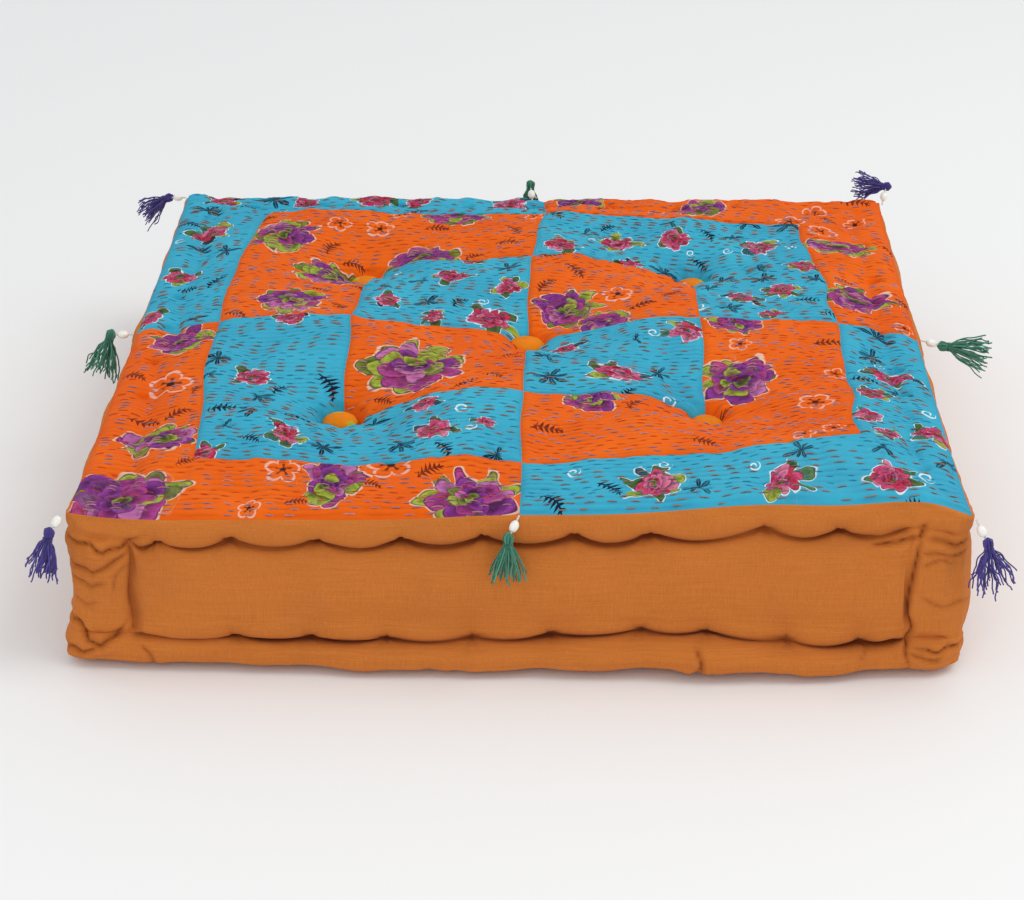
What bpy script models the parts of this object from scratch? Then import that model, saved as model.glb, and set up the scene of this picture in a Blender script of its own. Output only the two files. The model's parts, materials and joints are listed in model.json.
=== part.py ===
"""A patchwork floor cushion: a box-shaped cover with rolled mattress edges, a pieced and quilted top, five tufts
that tie top to bottom through the filling, and eight beaded tassels hung from the top seam.

Metres, +Z up, the front towards -Y. The origin is on the floor under the cushion's middle.
"""

import math

import bmesh
import bpy
from mathutils import Matrix, Vector

# The cover
TOP_WIDTH = 0.600  # the top between its left and right seams
TOP_DEPTH = 0.600  # the top between its front and back seams
SEAM_HEIGHT = 0.117  # from the floor to the top seam
CROWN = 0.010  # how far the plump top rises over its seams
EDGE_ROLL = 0.024  # height of the stitched roll along the top and bottom edges
ROLL_BULGE = 0.0015  # how far a roll stands out from its seam
GROOVE_DEPTH = 0.006  # how far the roll stitching pulls the side in
SIDE_BULGE = 0.001  # how far the side swells out half way up
PATCH_THICK = 0.0010
BACKING_THICK = 0.0020
BAND_THICK = 0.0015
PANEL_THICK = 0.0015
GAP = 0.0003  # clearance between neighbouring pieces

# The patchwork: squares in squares, cut by the two middle seams
INNER_HALF = 0.132  # half the inner square, whose corners are tufted
MIDDLE_HALF = 0.236  # half the middle square

# The tufts
HOLE_HALF = 0.0025  # half the square hole that the tufting cord goes through
SEAT_HALF = 0.016  # half the flat seat that a button lies on
TOP_DIMPLE_DEPTH = 0.024
TOP_DIMPLE_REACH = 0.050
BOTTOM_DIMPLE_DEPTH = 0.008
BOTTOM_DIMPLE_REACH = 0.020
TUFT_CORD_RADIUS = 0.0012
TOP_BUTTON_RADIUS = 0.014
TOP_BUTTON_HEIGHT = 0.008
BOTTOM_BUTTON_RADIUS = 0.011
BOTTOM_BUTTON_HEIGHT = 0.004

# The tassels
THREAD_LENGTH = 0.016  # from the seam to the middle of the tassel's head
THREAD_RADIUS = 0.0008
THREAD_STAND_OFF = 0.0012  # from the cover to the thread's first bend
BEAD_LENGTH = 0.0085
BEAD_RADIUS = 0.0032
BEAD_START = 0.0020  # from the first bend to the bead
HEAD_RADIUS = 0.0042
NECK_RADIUS = 0.0030
NECK_END = 0.0085  # from the middle of the head to the end of the neck's wrapping
TASSEL_LENGTH = 0.038  # from the middle of the head to the tips
SKIRT_RADIUS = 0.0085

CELL = 0.050  # longest side of a cell of the cover's net

HALF_X = TOP_WIDTH / 2
HALF_Y = TOP_DEPTH / 2

CORNERS = {
    "back_left": (-1, 1),
    "back_right": (1, 1),
    "front_left": (-1, -1),
    "front_right": (1, -1),
}
TUFTS = {"centre": (0.0, 0.0)}
TUFTS.update({name: (x * INNER_HALF, y * INNER_HALF) for name, (x, y) in CORNERS.items()})

# Where each tassel hangs, as a direction out from the middle of the cushion, and how its thread and its strands lie.
# A lie is a heading in degrees, anticlockwise from +X seen from above, and a drop in degrees below level.
TASSELS = {
    "front_left": ((-1, -1), (215, 50), (205, 76), "purple"),
    "front_middle": ((0, -1), (-122, 42), (-96, 78), "green"),
    "front_right": ((1, -1), (-48, 50), (-20, 78), "purple"),
    "right_middle": ((1, 0), (2, 16), (-2, 6), "green"),
    "back_right": ((1, 1), (72, -42), (176, -2), "purple"),
    "back_middle": ((0, 1), (98, -34), (94, 78), "green"),
    "back_left": ((-1, 1), (158, 8), (184, 22), "purple"),
    "left_middle": ((-1, 0), (176, 4), (186, 72), "green"),
}


def material(name, colour, roughness):
    made = bpy.data.materials.new(name)
    made.use_nodes = True
    shader = made.node_tree.nodes["Principled BSDF"]
    shader.inputs["Base Color"].default_value = (*colour, 1.0)
    shader.inputs["Roughness"].default_value = roughness
    shader.inputs["Metallic"].default_value = 0.0
    return made


def clear_scene():
    for old in list(bpy.data.objects):
        bpy.data.objects.remove(old)


def finish(bm, name, finish_material, parent, place=None, smooth=False):
    """Makes the closed mesh an object with its faces out, under its parent."""
    bmesh.ops.recalc_face_normals(bm, faces=bm.faces)
    mesh = bpy.data.meshes.new(name)
    bm.to_mesh(mesh)
    bm.free()
    if smooth:
        mesh.shade_smooth()
        mesh.set_sharp_from_angle(angle=math.radians(40))
    mesh.materials.append(finish_material)
    made = bpy.data.objects.new(name, mesh)
    bpy.context.scene.collection.objects.link(made)
    made.parent = parent
    if place is not None:
        made.matrix_local = place
    return made


def pivot(name, parent, place):
    empty = bpy.data.objects.new(name, None)
    empty.empty_display_size = 0.01
    bpy.context.scene.collection.objects.link(empty)
    empty.parent = parent
    empty.matrix_local = place
    return empty


# The cover's surfaces


def dimples(x, y, depth, reach):
    """How deep the tufts pull the cover in at this point. Each dimple is flat under its button."""
    total = 0.0
    for tuft_x, tuft_y in TUFTS.values():
        away_x = max(abs(x - tuft_x) - SEAT_HALF, 0.0)
        away_y = max(abs(y - tuft_y) - SEAT_HALF, 0.0)
        total += depth * math.exp(-(away_x**2 + away_y**2) / reach**2)
    return total


def top_surface(x, y):
    crown = CROWN * (1 - (x / HALF_X) ** 4) * (1 - (y / HALF_Y) ** 4)
    return SEAM_HEIGHT + crown - dimples(x, y, TOP_DIMPLE_DEPTH, TOP_DIMPLE_REACH)


def bottom_surface(x, y):
    return dimples(x, y, BOTTOM_DIMPLE_DEPTH, BOTTOM_DIMPLE_REACH)


def seat(surface, tuft, pick):
    """The highest or lowest point of a dimple's flat seat."""
    x, y = tuft
    reach = (-SEAT_HALF, 0.0, SEAT_HALF)
    return pick(surface(x + dx, y + dy) for dx in reach for dy in reach)


def side_profile():
    """Heights up the side, each with how far the filling stands out from the seam there."""
    lower = [
        (0.0, 0.0),
        (0.3 * EDGE_ROLL, ROLL_BULGE),
        (0.7 * EDGE_ROLL, ROLL_BULGE),
        (EDGE_ROLL, -GROOVE_DEPTH),
        (1.5 * EDGE_ROLL, 0.0),
    ]
    upper = [(SEAM_HEIGHT - height, out) for height, out in reversed(lower)]
    return [*lower, (SEAM_HEIGHT / 2, SIDE_BULGE), *upper]


def side_out(height):
    """How far the filling stands out from the seam at any height."""
    profile = side_profile()
    for (low, out_low), (high, out_high) in zip(profile, profile[1:]):
        if height <= high:
            return out_low + (out_high - out_low) * (height - low) / (high - low)
    return profile[-1][1]


# The cover's net of cells


def net_lines(half):
    """Lines across the cover: at its seams, and at each tuft's hole and seat, with long spans divided."""
    fixed = {-half, -MIDDLE_HALF, MIDDLE_HALF, half}
    for tuft in (-INNER_HALF, 0.0, INNER_HALF):
        fixed.update(tuft + step for step in (-SEAT_HALF, -HOLE_HALF, 0.0, HOLE_HALF, SEAT_HALF))
    fixed = sorted(fixed)
    lines = [fixed[0]]
    for start, end in zip(fixed, fixed[1:]):
        count = math.ceil((end - start) / CELL - 1e-6)
        lines += [start + (end - start) * step / count for step in range(1, count + 1)]
    return lines


class Net:
    """The cover seen from above, cut into cells, of which a piece keeps some."""

    def __init__(self, keeps):
        self.xs = net_lines(HALF_X)
        self.ys = net_lines(HALF_Y)
        self.cells = set()
        for i in range(len(self.xs) - 1):
            for j in range(len(self.ys) - 1):
                x, y = self.middle(i, j)
                in_hole = any(
                    abs(x - tuft_x) < HOLE_HALF and abs(y - tuft_y) < HOLE_HALF
                    for tuft_x, tuft_y in TUFTS.values()
                )
                if keeps(x, y) and not in_hole:
                    self.cells.add((i, j))

    def middle(self, i, j):
        return (self.xs[i] + self.xs[i + 1]) / 2, (self.ys[j] + self.ys[j + 1]) / 2

    def kept(self, i, j):
        """Past the cover's own edge, a cell counts as its mirror image inside."""
        inside_i = min(max(i, 0), len(self.xs) - 2)
        inside_j = min(max(j, 0), len(self.ys) - 2)
        return (inside_i, inside_j) in self.cells

    def place(self, i, j):
        """A crossing of two lines, drawn back by half the gap where the piece ends there."""
        lean_x = lean_y = 0
        for step_i in (-1, 0):
            for step_j in (-1, 0):
                if self.kept(i + step_i, j + step_j):
                    lean_x += 2 * step_i + 1
                    lean_y += 2 * step_j + 1
        sign_x = (lean_x > 0) - (lean_x < 0)
        sign_y = (lean_y > 0) - (lean_y < 0)
        return self.xs[i] + sign_x * GAP / 2, self.ys[j] + sign_y * GAP / 2

    def skin(self, bm, height):
        """One face of the piece, as a surface over its cells. Gives its points by line numbers."""
        points = {}
        for i, j in sorted(self.cells):
            ring = [(i, j), (i + 1, j), (i + 1, j + 1), (i, j + 1)]
            for key in ring:
                if key not in points:
                    x, y = self.place(*key)
                    points[key] = bm.verts.new((x, y, height(x, y)))
            a, b, c, d = (points[key] for key in ring)
            x, y = self.middle(i, j)
            if x * y > 0:
                bm.faces.new((a, b, c))
                bm.faces.new((a, c, d))
            else:
                bm.faces.new((a, b, d))
                bm.faces.new((b, c, d))
        return points

    def rim(self):
        """The line numbers at both ends of each cell side where the piece ends."""
        last_i, last_j = len(self.xs) - 2, len(self.ys) - 2
        for i, j in sorted(self.cells):
            sides = (
                ((i, j - 1), (i, j), (i + 1, j), j == 0),
                ((i + 1, j), (i + 1, j), (i + 1, j + 1), i == last_i),
                ((i, j + 1), (i + 1, j + 1), (i, j + 1), j == last_j),
                ((i - 1, j), (i, j + 1), (i, j), i == 0),
            )
            for beyond, start, end, at_cover_edge in sides:
                if beyond not in self.cells:
                    yield start, end, at_cover_edge


def slab(name, keeps, top, bottom, finish_material, parent):
    """A sheet of the cover over the cells that it keeps."""
    net = Net(keeps)
    bm = bmesh.new()
    upper = net.skin(bm, top)
    lower = net.skin(bm, bottom)
    for start, end, _ in net.rim():
        bm.faces.new((upper[start], upper[end], lower[end], lower[start]))
    return finish(bm, name, finish_material, parent)


def filling(finish_material, parent):
    """The filling fits the cover with a gap, and has a bore for each tufting cord."""
    under_top = PATCH_THICK + BACKING_THICK + 2 * GAP
    over_panel = PANEL_THICK + GAP
    low, high = over_panel, SEAM_HEIGHT - under_top
    net = Net(lambda x, y: True)
    bm = bmesh.new()
    upper = net.skin(bm, lambda x, y: top_surface(x, y) - under_top)
    lower = net.skin(bm, lambda x, y: bottom_surface(x, y) + over_panel)
    for points, height in ((upper, high), (lower, low)):
        for point in points.values():
            for axis, half in ((0, HALF_X), (1, HALF_Y)):
                if abs(point.co[axis]) > half - GAP:
                    point.co[axis] = math.copysign(half + side_out(height), point.co[axis])
    for start, end, at_cover_edge in net.rim():
        if not at_cover_edge:
            bm.faces.new((upper[start], upper[end], lower[end], lower[start]))

    last_i, last_j = len(net.xs) - 1, len(net.ys) - 1
    along = list(range(last_i + 1))
    up = list(range(last_j + 1))
    edges = {
        "front": [(i, 0) for i in along],
        "right": [(last_i, j) for j in up],
        "back": [(i, last_j) for i in reversed(along)],
        "left": [(0, j) for j in reversed(up)],
    }
    corners = [(-1, -1), (1, -1), (1, 1), (-1, 1)]
    levels = []
    for height, out in side_profile():
        if low < height < high:
            ring = [bm.verts.new((x * (HALF_X + out), y * (HALF_Y + out), height)) for x, y in corners]
            levels.append(ring)
    for side, keys in enumerate(edges.values()):
        after = (side + 1) % 4
        bm.faces.new([lower[key] for key in keys] + [levels[0][after], levels[0][side]])
        bm.faces.new([levels[-1][side], levels[-1][after]] + [upper[key] for key in reversed(keys)])
        for below, above in zip(levels, levels[1:]):
            bm.faces.new((below[side], below[after], above[after], above[side]))
    return finish(bm, "cotton_fill", finish_material, parent)


def band(name, across, along, turn, finish_material, parent):
    """One side of the cover, mitred into its neighbours: across is half the cushion's size towards this side."""
    profile = side_profile()
    outline = [(out + GAP + BAND_THICK, height) for height, out in profile]
    outline += [(out + GAP, height) for height, out in reversed(profile)]
    bm = bmesh.new()
    ends = []
    for sign in (-1, 1):
        points = [(sign * (along + out - GAP), -(across + out), height) for out, height in outline]
        ends.append([bm.verts.new(point) for point in points])
        bm.faces.new(ends[-1])
    left, right = ends
    for k in range(len(outline)):
        after = (k + 1) % len(outline)
        bm.faces.new((left[k], right[k], right[after], left[after]))
    return finish(bm, name, finish_material, parent, Matrix.Rotation(turn, 4, "Z"))


def turned(name, outline, sides, finish_material, parent, place, hollow=False):
    """Turns an outline of (radius, height) points, from top to bottom, about +Z. A hollow one closes on itself."""
    bm = bmesh.new()
    rings = []
    for radius, height in outline:
        if radius == 0:
            rings.append([bm.verts.new((0, 0, height))] * sides)
            continue
        angles = [math.tau * step / sides for step in range(sides)]
        rings.append(
            [bm.verts.new((radius * math.cos(a), radius * math.sin(a), height)) for a in angles]
        )
    following = rings[1:] + rings[:1] if hollow else rings[1:]
    for upper, lower in zip(rings, following):
        for k in range(sides):
            after = (k + 1) % sides
            ring = [upper[k], lower[k], lower[after], upper[after]]
            distinct = [point for n, point in enumerate(ring) if point not in ring[:n]]
            bm.faces.new(distinct)
    return finish(bm, name, finish_material, parent, place, smooth=True)


# The pieces


def cover_layers(cloths, parent):
    under_patches = PATCH_THICK + GAP
    slab(
        "quilt_backing",
        lambda x, y: True,
        lambda x, y: top_surface(x, y) - under_patches,
        lambda x, y: top_surface(x, y) - under_patches - BACKING_THICK,
        cloths["backing"],
        parent,
    )
    slab(
        "bottom_panel",
        lambda x, y: True,
        lambda x, y: bottom_surface(x, y) + PANEL_THICK,
        bottom_surface,
        cloths["ochre"],
        parent,
    )


def patches(cloths, parent):
    """Twelve patches: a square and two L shapes in each quarter, in two cloths turn about."""
    rings = {"inner": (0.0, INNER_HALF), "middle": (INNER_HALF, MIDDLE_HALF)}
    rings["outer"] = (MIDDLE_HALF, max(HALF_X, HALF_Y))
    for number, (ring, (near, far)) in enumerate(rings.items()):
        for corner, (side_x, side_y) in CORNERS.items():
            turquoise_first = side_x * side_y < 0
            cloth = "turquoise" if (number % 2 == 0) == turquoise_first else "orange"

            def keeps(x, y):
                in_quarter = x * side_x > 0 and y * side_y > 0
                return in_quarter and near < max(abs(x), abs(y)) < far

            slab(
                f"patch_{ring}_{corner}",
                keeps,
                top_surface,
                lambda x, y: top_surface(x, y) - PATCH_THICK,
                cloths[cloth],
                parent,
            )


def bands(cloths, parent):
    sides = {
        "front": (HALF_Y, HALF_X),
        "right": (HALF_X, HALF_Y),
        "back": (HALF_Y, HALF_X),
        "left": (HALF_X, HALF_Y),
    }
    for quarter, (name, (across, along)) in enumerate(sides.items()):
        turn = quarter * math.pi / 2
        band(f"side_band_{name}", across, along, turn, cloths["ochre"], parent)


def tufts(cloths, parent):
    """A button above and one below, drawn together by a cord through the filling."""
    dome = [(0.0, 1.0), (0.45, 0.92), (0.80, 0.66), (1.0, 0.28), (0.97, 0.0), (0.0, 0.0)]
    disc = [(0.0, 1.0), (0.94, 1.0), (1.0, 0.5), (0.94, 0.0), (0.0, 0.0)]
    for name, tuft in TUFTS.items():
        x, y = tuft
        over = seat(top_surface, tuft, max) + GAP
        under = seat(bottom_surface, tuft, min) - GAP
        turned(
            f"tuft_button_top_{name}",
            [(r * TOP_BUTTON_RADIUS, z * TOP_BUTTON_HEIGHT) for r, z in dome],
            16,
            cloths["orange"],
            parent,
            Matrix.Translation((x, y, over)),
        )
        turned(
            f"tuft_button_bottom_{name}",
            [(r * BOTTOM_BUTTON_RADIUS, (z - 1) * BOTTOM_BUTTON_HEIGHT) for r, z in disc],
            16,
            cloths["ochre"],
            parent,
            Matrix.Translation((x, y, under)),
        )
        length = over - under - 2 * GAP
        turned(
            f"tuft_cord_{name}",
            [(0, length), (TUFT_CORD_RADIUS, length), (TUFT_CORD_RADIUS, 0), (0, 0)],
            8,
            cloths["cord"],
            parent,
            Matrix.Translation((x, y, under + GAP)),
        )


def lie(heading, drop):
    """The unit direction of a heading and a drop, both in degrees."""
    heading, drop = math.radians(heading), math.radians(drop)
    level = math.cos(drop)
    return Vector((level * math.cos(heading), level * math.sin(heading), -math.sin(drop)))


def tassel_points(name):
    """Where the thread first bends, its direction, the middle of the head, and the strands' direction."""
    (side_x, side_y), thread_lie, strand_lie, _ = TASSELS[name]
    out = GAP + BAND_THICK + THREAD_STAND_OFF
    height = SEAM_HEIGHT - THREAD_RADIUS
    anchor = Vector((side_x * (HALF_X + out), side_y * (HALF_Y + out), height))
    thread_way = lie(*thread_lie)
    return anchor, thread_way, anchor + THREAD_LENGTH * thread_way, lie(*strand_lie)


def tassel(name, cloths, parent):
    """A short thread with a bead on it, and a bunch of strands bound under a round head."""
    anchor, thread_way, head, strand_way = tassel_points(name)
    thread_turn = thread_way.to_track_quat("Z", "Y").to_matrix().to_4x4()
    strand_turn = strand_way.to_track_quat("Z", "Y").to_matrix().to_4x4()
    swing = pivot(f"swing_pivot_{name}", parent, Matrix.Translation(anchor) @ thread_turn)
    sway = pivot(f"sway_pivot_{name}", parent, Matrix.Translation(head) @ strand_turn)

    thread_end = THREAD_LENGTH - HEAD_RADIUS - GAP
    outline = [(0, thread_end), (THREAD_RADIUS, thread_end), (THREAD_RADIUS, 0), (0, 0)]
    turned(f"tassel_thread_{name}", outline, 8, cloths["thread"], swing, Matrix())

    bore = THREAD_RADIUS + GAP
    bead = [(BEAD_RADIUS * r, BEAD_START + BEAD_LENGTH * z) for r, z in ((0.55, 1), (1, 0.65), (1, 0.35), (0.55, 0))]
    bead += [(bore, BEAD_START), (bore, BEAD_START + BEAD_LENGTH)]
    turned(f"tassel_bead_{name}", bead, 10, cloths["bead"], swing, Matrix(), hollow=True)

    skirt = TASSEL_LENGTH - NECK_END
    strands = [
        (0, TASSEL_LENGTH),
        (SKIRT_RADIUS, TASSEL_LENGTH),
        (0.85 * SKIRT_RADIUS, NECK_END + 0.65 * skirt),
        (0.60 * SKIRT_RADIUS, NECK_END + 0.25 * skirt),
        (NECK_RADIUS, NECK_END),
        (NECK_RADIUS, HEAD_RADIUS),
        (HEAD_RADIUS, 0),
        (0.7 * HEAD_RADIUS, -0.7 * HEAD_RADIUS),
        (0, -HEAD_RADIUS),
    ]
    colour = TASSELS[name][3]
    turned(f"tassel_{name}", strands, 12, cloths[colour], sway, Matrix())


def main():
    clear_scene()
    cloths = {
        "orange": material("orange print cotton", (0.871, 0.127, 0.007), 0.9),
        "turquoise": material("turquoise print cotton", (0.074, 0.429, 0.591), 0.9),
        "ochre": material("ochre cotton", (0.527, 0.162, 0.034), 0.9),
        "backing": material("quilt backing cotton", (0.78, 0.74, 0.66), 0.9),
        "filling": material("cotton filling", (0.86, 0.84, 0.78), 1.0),
        "cord": material("tufting twine", (0.75, 0.70, 0.60), 0.9),
        "thread": material("pale tassel thread", (0.80, 0.74, 0.64), 0.8),
        "bead": material("white bead", (0.85, 0.83, 0.78), 0.35),
        "purple": material("purple strands", (0.035, 0.020, 0.18), 0.8),
        "green": material("green strands", (0.010, 0.10, 0.065), 0.8),
    }
    cushion = pivot("floor_cushion", None, Matrix())
    filling(cloths["filling"], cushion)
    cover_layers(cloths, cushion)
    patches(cloths, cushion)
    bands(cloths, cushion)
    tufts(cloths, cushion)
    for name in TASSELS:
        tassel(name, cloths, cushion)


main()
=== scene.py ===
import json
import math

import bpy
import numpy as np
from mathutils import Euler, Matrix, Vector


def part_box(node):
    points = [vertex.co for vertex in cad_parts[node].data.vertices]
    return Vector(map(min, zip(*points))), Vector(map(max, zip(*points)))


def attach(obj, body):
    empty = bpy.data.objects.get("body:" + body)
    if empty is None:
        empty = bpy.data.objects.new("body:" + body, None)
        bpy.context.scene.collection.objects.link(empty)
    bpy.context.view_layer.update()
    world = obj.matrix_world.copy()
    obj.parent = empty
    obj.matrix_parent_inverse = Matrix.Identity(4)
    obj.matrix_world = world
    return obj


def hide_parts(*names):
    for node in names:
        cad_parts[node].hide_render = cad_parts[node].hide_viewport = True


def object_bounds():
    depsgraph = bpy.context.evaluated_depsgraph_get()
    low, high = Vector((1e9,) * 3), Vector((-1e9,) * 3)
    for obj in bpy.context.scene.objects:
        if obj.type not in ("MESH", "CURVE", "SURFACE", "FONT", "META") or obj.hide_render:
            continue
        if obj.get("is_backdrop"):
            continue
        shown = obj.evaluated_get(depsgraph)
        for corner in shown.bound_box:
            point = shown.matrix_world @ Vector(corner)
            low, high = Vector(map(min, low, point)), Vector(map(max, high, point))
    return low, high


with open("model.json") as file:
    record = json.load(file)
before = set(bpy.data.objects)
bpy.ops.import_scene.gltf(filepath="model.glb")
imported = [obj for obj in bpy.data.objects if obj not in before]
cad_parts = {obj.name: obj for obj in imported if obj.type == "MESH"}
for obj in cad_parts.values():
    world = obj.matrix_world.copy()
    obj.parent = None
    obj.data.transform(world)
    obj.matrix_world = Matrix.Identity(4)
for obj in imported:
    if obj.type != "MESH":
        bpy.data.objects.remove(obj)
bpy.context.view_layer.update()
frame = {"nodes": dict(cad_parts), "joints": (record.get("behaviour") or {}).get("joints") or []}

# ---------------------------------------------------------------------------------------------
# The camera, floor and lights. The cushion lies on a plain pale floor in soft light from above,
# a little stronger from the right, and is seen from the front, 26 degrees above the floor.
# ---------------------------------------------------------------------------------------------
camera = bpy.data.objects.new("camera", bpy.data.cameras.new("camera"))
camera.data.sensor_width = 36
camera.data.lens = 93
camera.data.clip_end = 60
camera.location = (0.0315, -1.8606, 0.9127)
camera.rotation_euler = Euler([math.radians(turn) for turn in (64.397, 0.024, 1.291)])
bpy.context.scene.collection.objects.link(camera)
bpy.context.scene.camera = camera


def new_piece(name, points, faces):
    """A smooth mesh object at the origin, from its points and faces."""
    mesh = bpy.data.meshes.new(name)
    mesh.from_pydata(points, [], faces)
    mesh.shade_smooth()
    piece = bpy.data.objects.new(name, mesh)
    bpy.context.scene.collection.objects.link(piece)
    return piece


FLOOR_HALF = 14.0
edges = [(a * FLOOR_HALF, b * FLOOR_HALF, 0) for a, b in ((-1, -1), (1, -1), (1, 1), (-1, 1))]
floor = new_piece("floor", edges, [(0, 1, 2, 3)])
floor_paint = bpy.data.materials.new("pale_floor")
floor_paint.use_nodes = True
floor_shader = floor_paint.node_tree.nodes["Principled BSDF"]
floor_shader.inputs["Base Color"].default_value = (0.86, 0.86, 0.855, 1)
floor_shader.inputs["Roughness"].default_value = 0.7
floor.data.materials.append(floor_paint)
floor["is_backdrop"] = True

sky = bpy.data.worlds.new("studio")
sky.use_nodes = True
sky.node_tree.nodes["Background"].inputs[0].default_value = (0.97, 0.985, 1.0, 1)
sky.node_tree.nodes["Background"].inputs[1].default_value = 0.80
bpy.context.scene.world = sky
bpy.context.scene.view_settings.view_transform = "Standard"


def soft_light(name, place, size, power, colour=(1, 1, 1)):
    """A large square lamp that faces the cushion."""
    lamp = bpy.data.objects.new(name, bpy.data.lights.new(name, "AREA"))
    lamp.data.size = size
    lamp.data.energy = power
    lamp.data.color = colour
    lamp.location = place
    lamp.rotation_euler = (Vector((0, 0, 0.05)) - lamp.location).to_track_quat("-Z", "Y").to_euler()
    bpy.context.scene.collection.objects.link(lamp)


soft_light("key_light", (1.9, -0.3, 2.7), 1.8, 31, (1.0, 0.99, 0.97))
soft_light("front_light", (-0.5, -2.6, 1.5), 1.6, 12)

# ---------------------------------------------------------------------------------------------
# The sewn cover, as one net of cloth: a patchwork top, and sides with a quilted roll along the
# top edge, along the bottom edge and down each corner. Cotton filling pushes it out, and the
# five tufts and the quilting stitches hold it in. Each piece of the cover is cut from this shape.
# ---------------------------------------------------------------------------------------------
HALF = round(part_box("quilt_backing")[1].x, 3)  # half the side of the top, seam to seam
SEAM_Z = 0.117  # height of the top seam
SIDE_CLOTH = 0.134  # height of a side's cloth before it is gathered into its rolls
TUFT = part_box("tuft_button_top_back_right")
TUFT_AT = round((TUFT[0].x + TUFT[1].x) / 2, 3)
TUFTS = [(0.0, 0.0)] + [(a * TUFT_AT, b * TUFT_AT) for a in (-1, 1) for b in (-1, 1)]
TUFT_Z = 0.1035  # height of the cloth under a top button
MIDDLE_LIFT = 0.0035  # how much higher the middle button sits than the others
ROLL_CORNER = 0.040  # width of the roll down each corner
NET = 100  # net squares along each side of the top
ROWS = 24  # net rows down a side
TOP_GROOVE, BOTTOM_GROOVE = 4, 18  # the rows that the quilting stitches pull in
EXCESS = 1.016  # how much larger the cloth is cut than the space it covers
ROLL_CLOTH, PANEL_CLOTH, FOOT_CLOTH = 1.12, 1.03, 1.15  # cloth for each bit of height, top to bottom
CROWN = 0.016  # how far the sewn top rises above its seam, before it is filled
DIMPLE_DEPTH, DIMPLE_WIDTH = 0.027, 0.040  # how the tufts draw it down
BUTTON_REACH = 0.0135  # cloth that a button holds flat, from its middle
EDGE_STITCH = 0.026  # how far in from the seam the stitches along the top's edges are
FOOT_Z = 0.0012  # height of the bottom seam
SIDE_SWELL = 0.003  # how far a side bulges half-way down, before it is filled
MOST_FILLED = 0.016  # how far the filling may push any point of the cloth
# Where the quilting stitches pull each edge in, along the side: the front one by one, then the rest.
FRONT_TOP_PULLS = [-0.242, -0.193, -0.134, -0.078, -0.023, 0.038, 0.087, 0.164, 0.213]
FRONT_BOTTOM_PULLS = [-0.192, -0.140, -0.089, -0.031, 0.022, 0.083, 0.127, 0.181, 0.230]
EVEN_PULLS = np.linspace(-0.243, 0.243, 9)
PULL_ERROR = 0.009  # how far from even a hand-sewn stitch may be
chance = np.random.default_rng(7)
top_pulls, bottom_pulls = [FRONT_TOP_PULLS], [FRONT_BOTTOM_PULLS]
for side in range(1, 4):
    for pulls in (top_pulls, bottom_pulls):
        pulls.append(list(EVEN_PULLS + chance.uniform(-PULL_ERROR, PULL_ERROR, 9)))


def beside(side, along, out, height):
    """A point by a side (0 front, 1 right, 2 back, 3 left), along it from its middle to its right."""
    reach = HALF + out
    turns = [(along, -reach), (reach, along), (-along, reach), (-reach, -along)]
    return (*turns[side], height)


def scallop(along, pulls):
    """0 at a pull and 1 half-way between two."""
    held = np.array(sorted([*pulls, ROLL_CORNER - HALF, HALF - ROLL_CORNER]))
    left = int(np.clip(np.searchsorted(held, along) - 1, 0, len(held) - 2))
    share = np.clip((along - held[left]) / (held[left + 1] - held[left]), 0, 1)
    return 4 * share * (1 - share)


def side_levels(side, along):
    """Heights of a side's net rows, how far down its cloth they are, and how slack its grooves are."""
    droop, lift = scallop(along, top_pulls[side]), scallop(along, bottom_pulls[side])
    knots = [SEAM_Z, SEAM_Z - 0.0165 - 0.0070 * droop, 0.0270 - 0.0025 * lift, FOOT_Z]
    heights = np.interp(range(ROWS + 1), [0, TOP_GROOVE, BOTTOM_GROOVE, ROWS], knots)
    rows = np.arange(ROWS)
    longer = np.select([rows < TOP_GROOVE, rows < BOTTOM_GROOVE], [ROLL_CLOTH, PANEL_CLOTH], FOOT_CLOTH)
    return heights, np.concatenate([[0], np.cumsum(-np.diff(heights) * longer)]), droop, lift


def bell(distance, width):
    """1 at no distance, and almost 0 at twice the width."""
    return np.exp(-((distance / width) ** 2))


def quads_of(grid):
    """The faces between the neighbours of a grid of point numbers."""
    return np.stack([grid[:-1, :-1], grid[1:, :-1], grid[1:, 1:], grid[:-1, 1:]], -1).reshape(-1, 4)


def numbered(points):
    """A grid of point numbers for a grid of points."""
    return np.arange(points.shape[0] * points.shape[1]).reshape(points.shape[:2])


def round_once(grid):
    """A grid whose first column comes again after its last."""
    return np.concatenate([grid, grid[:, :1]], axis=1)


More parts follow.
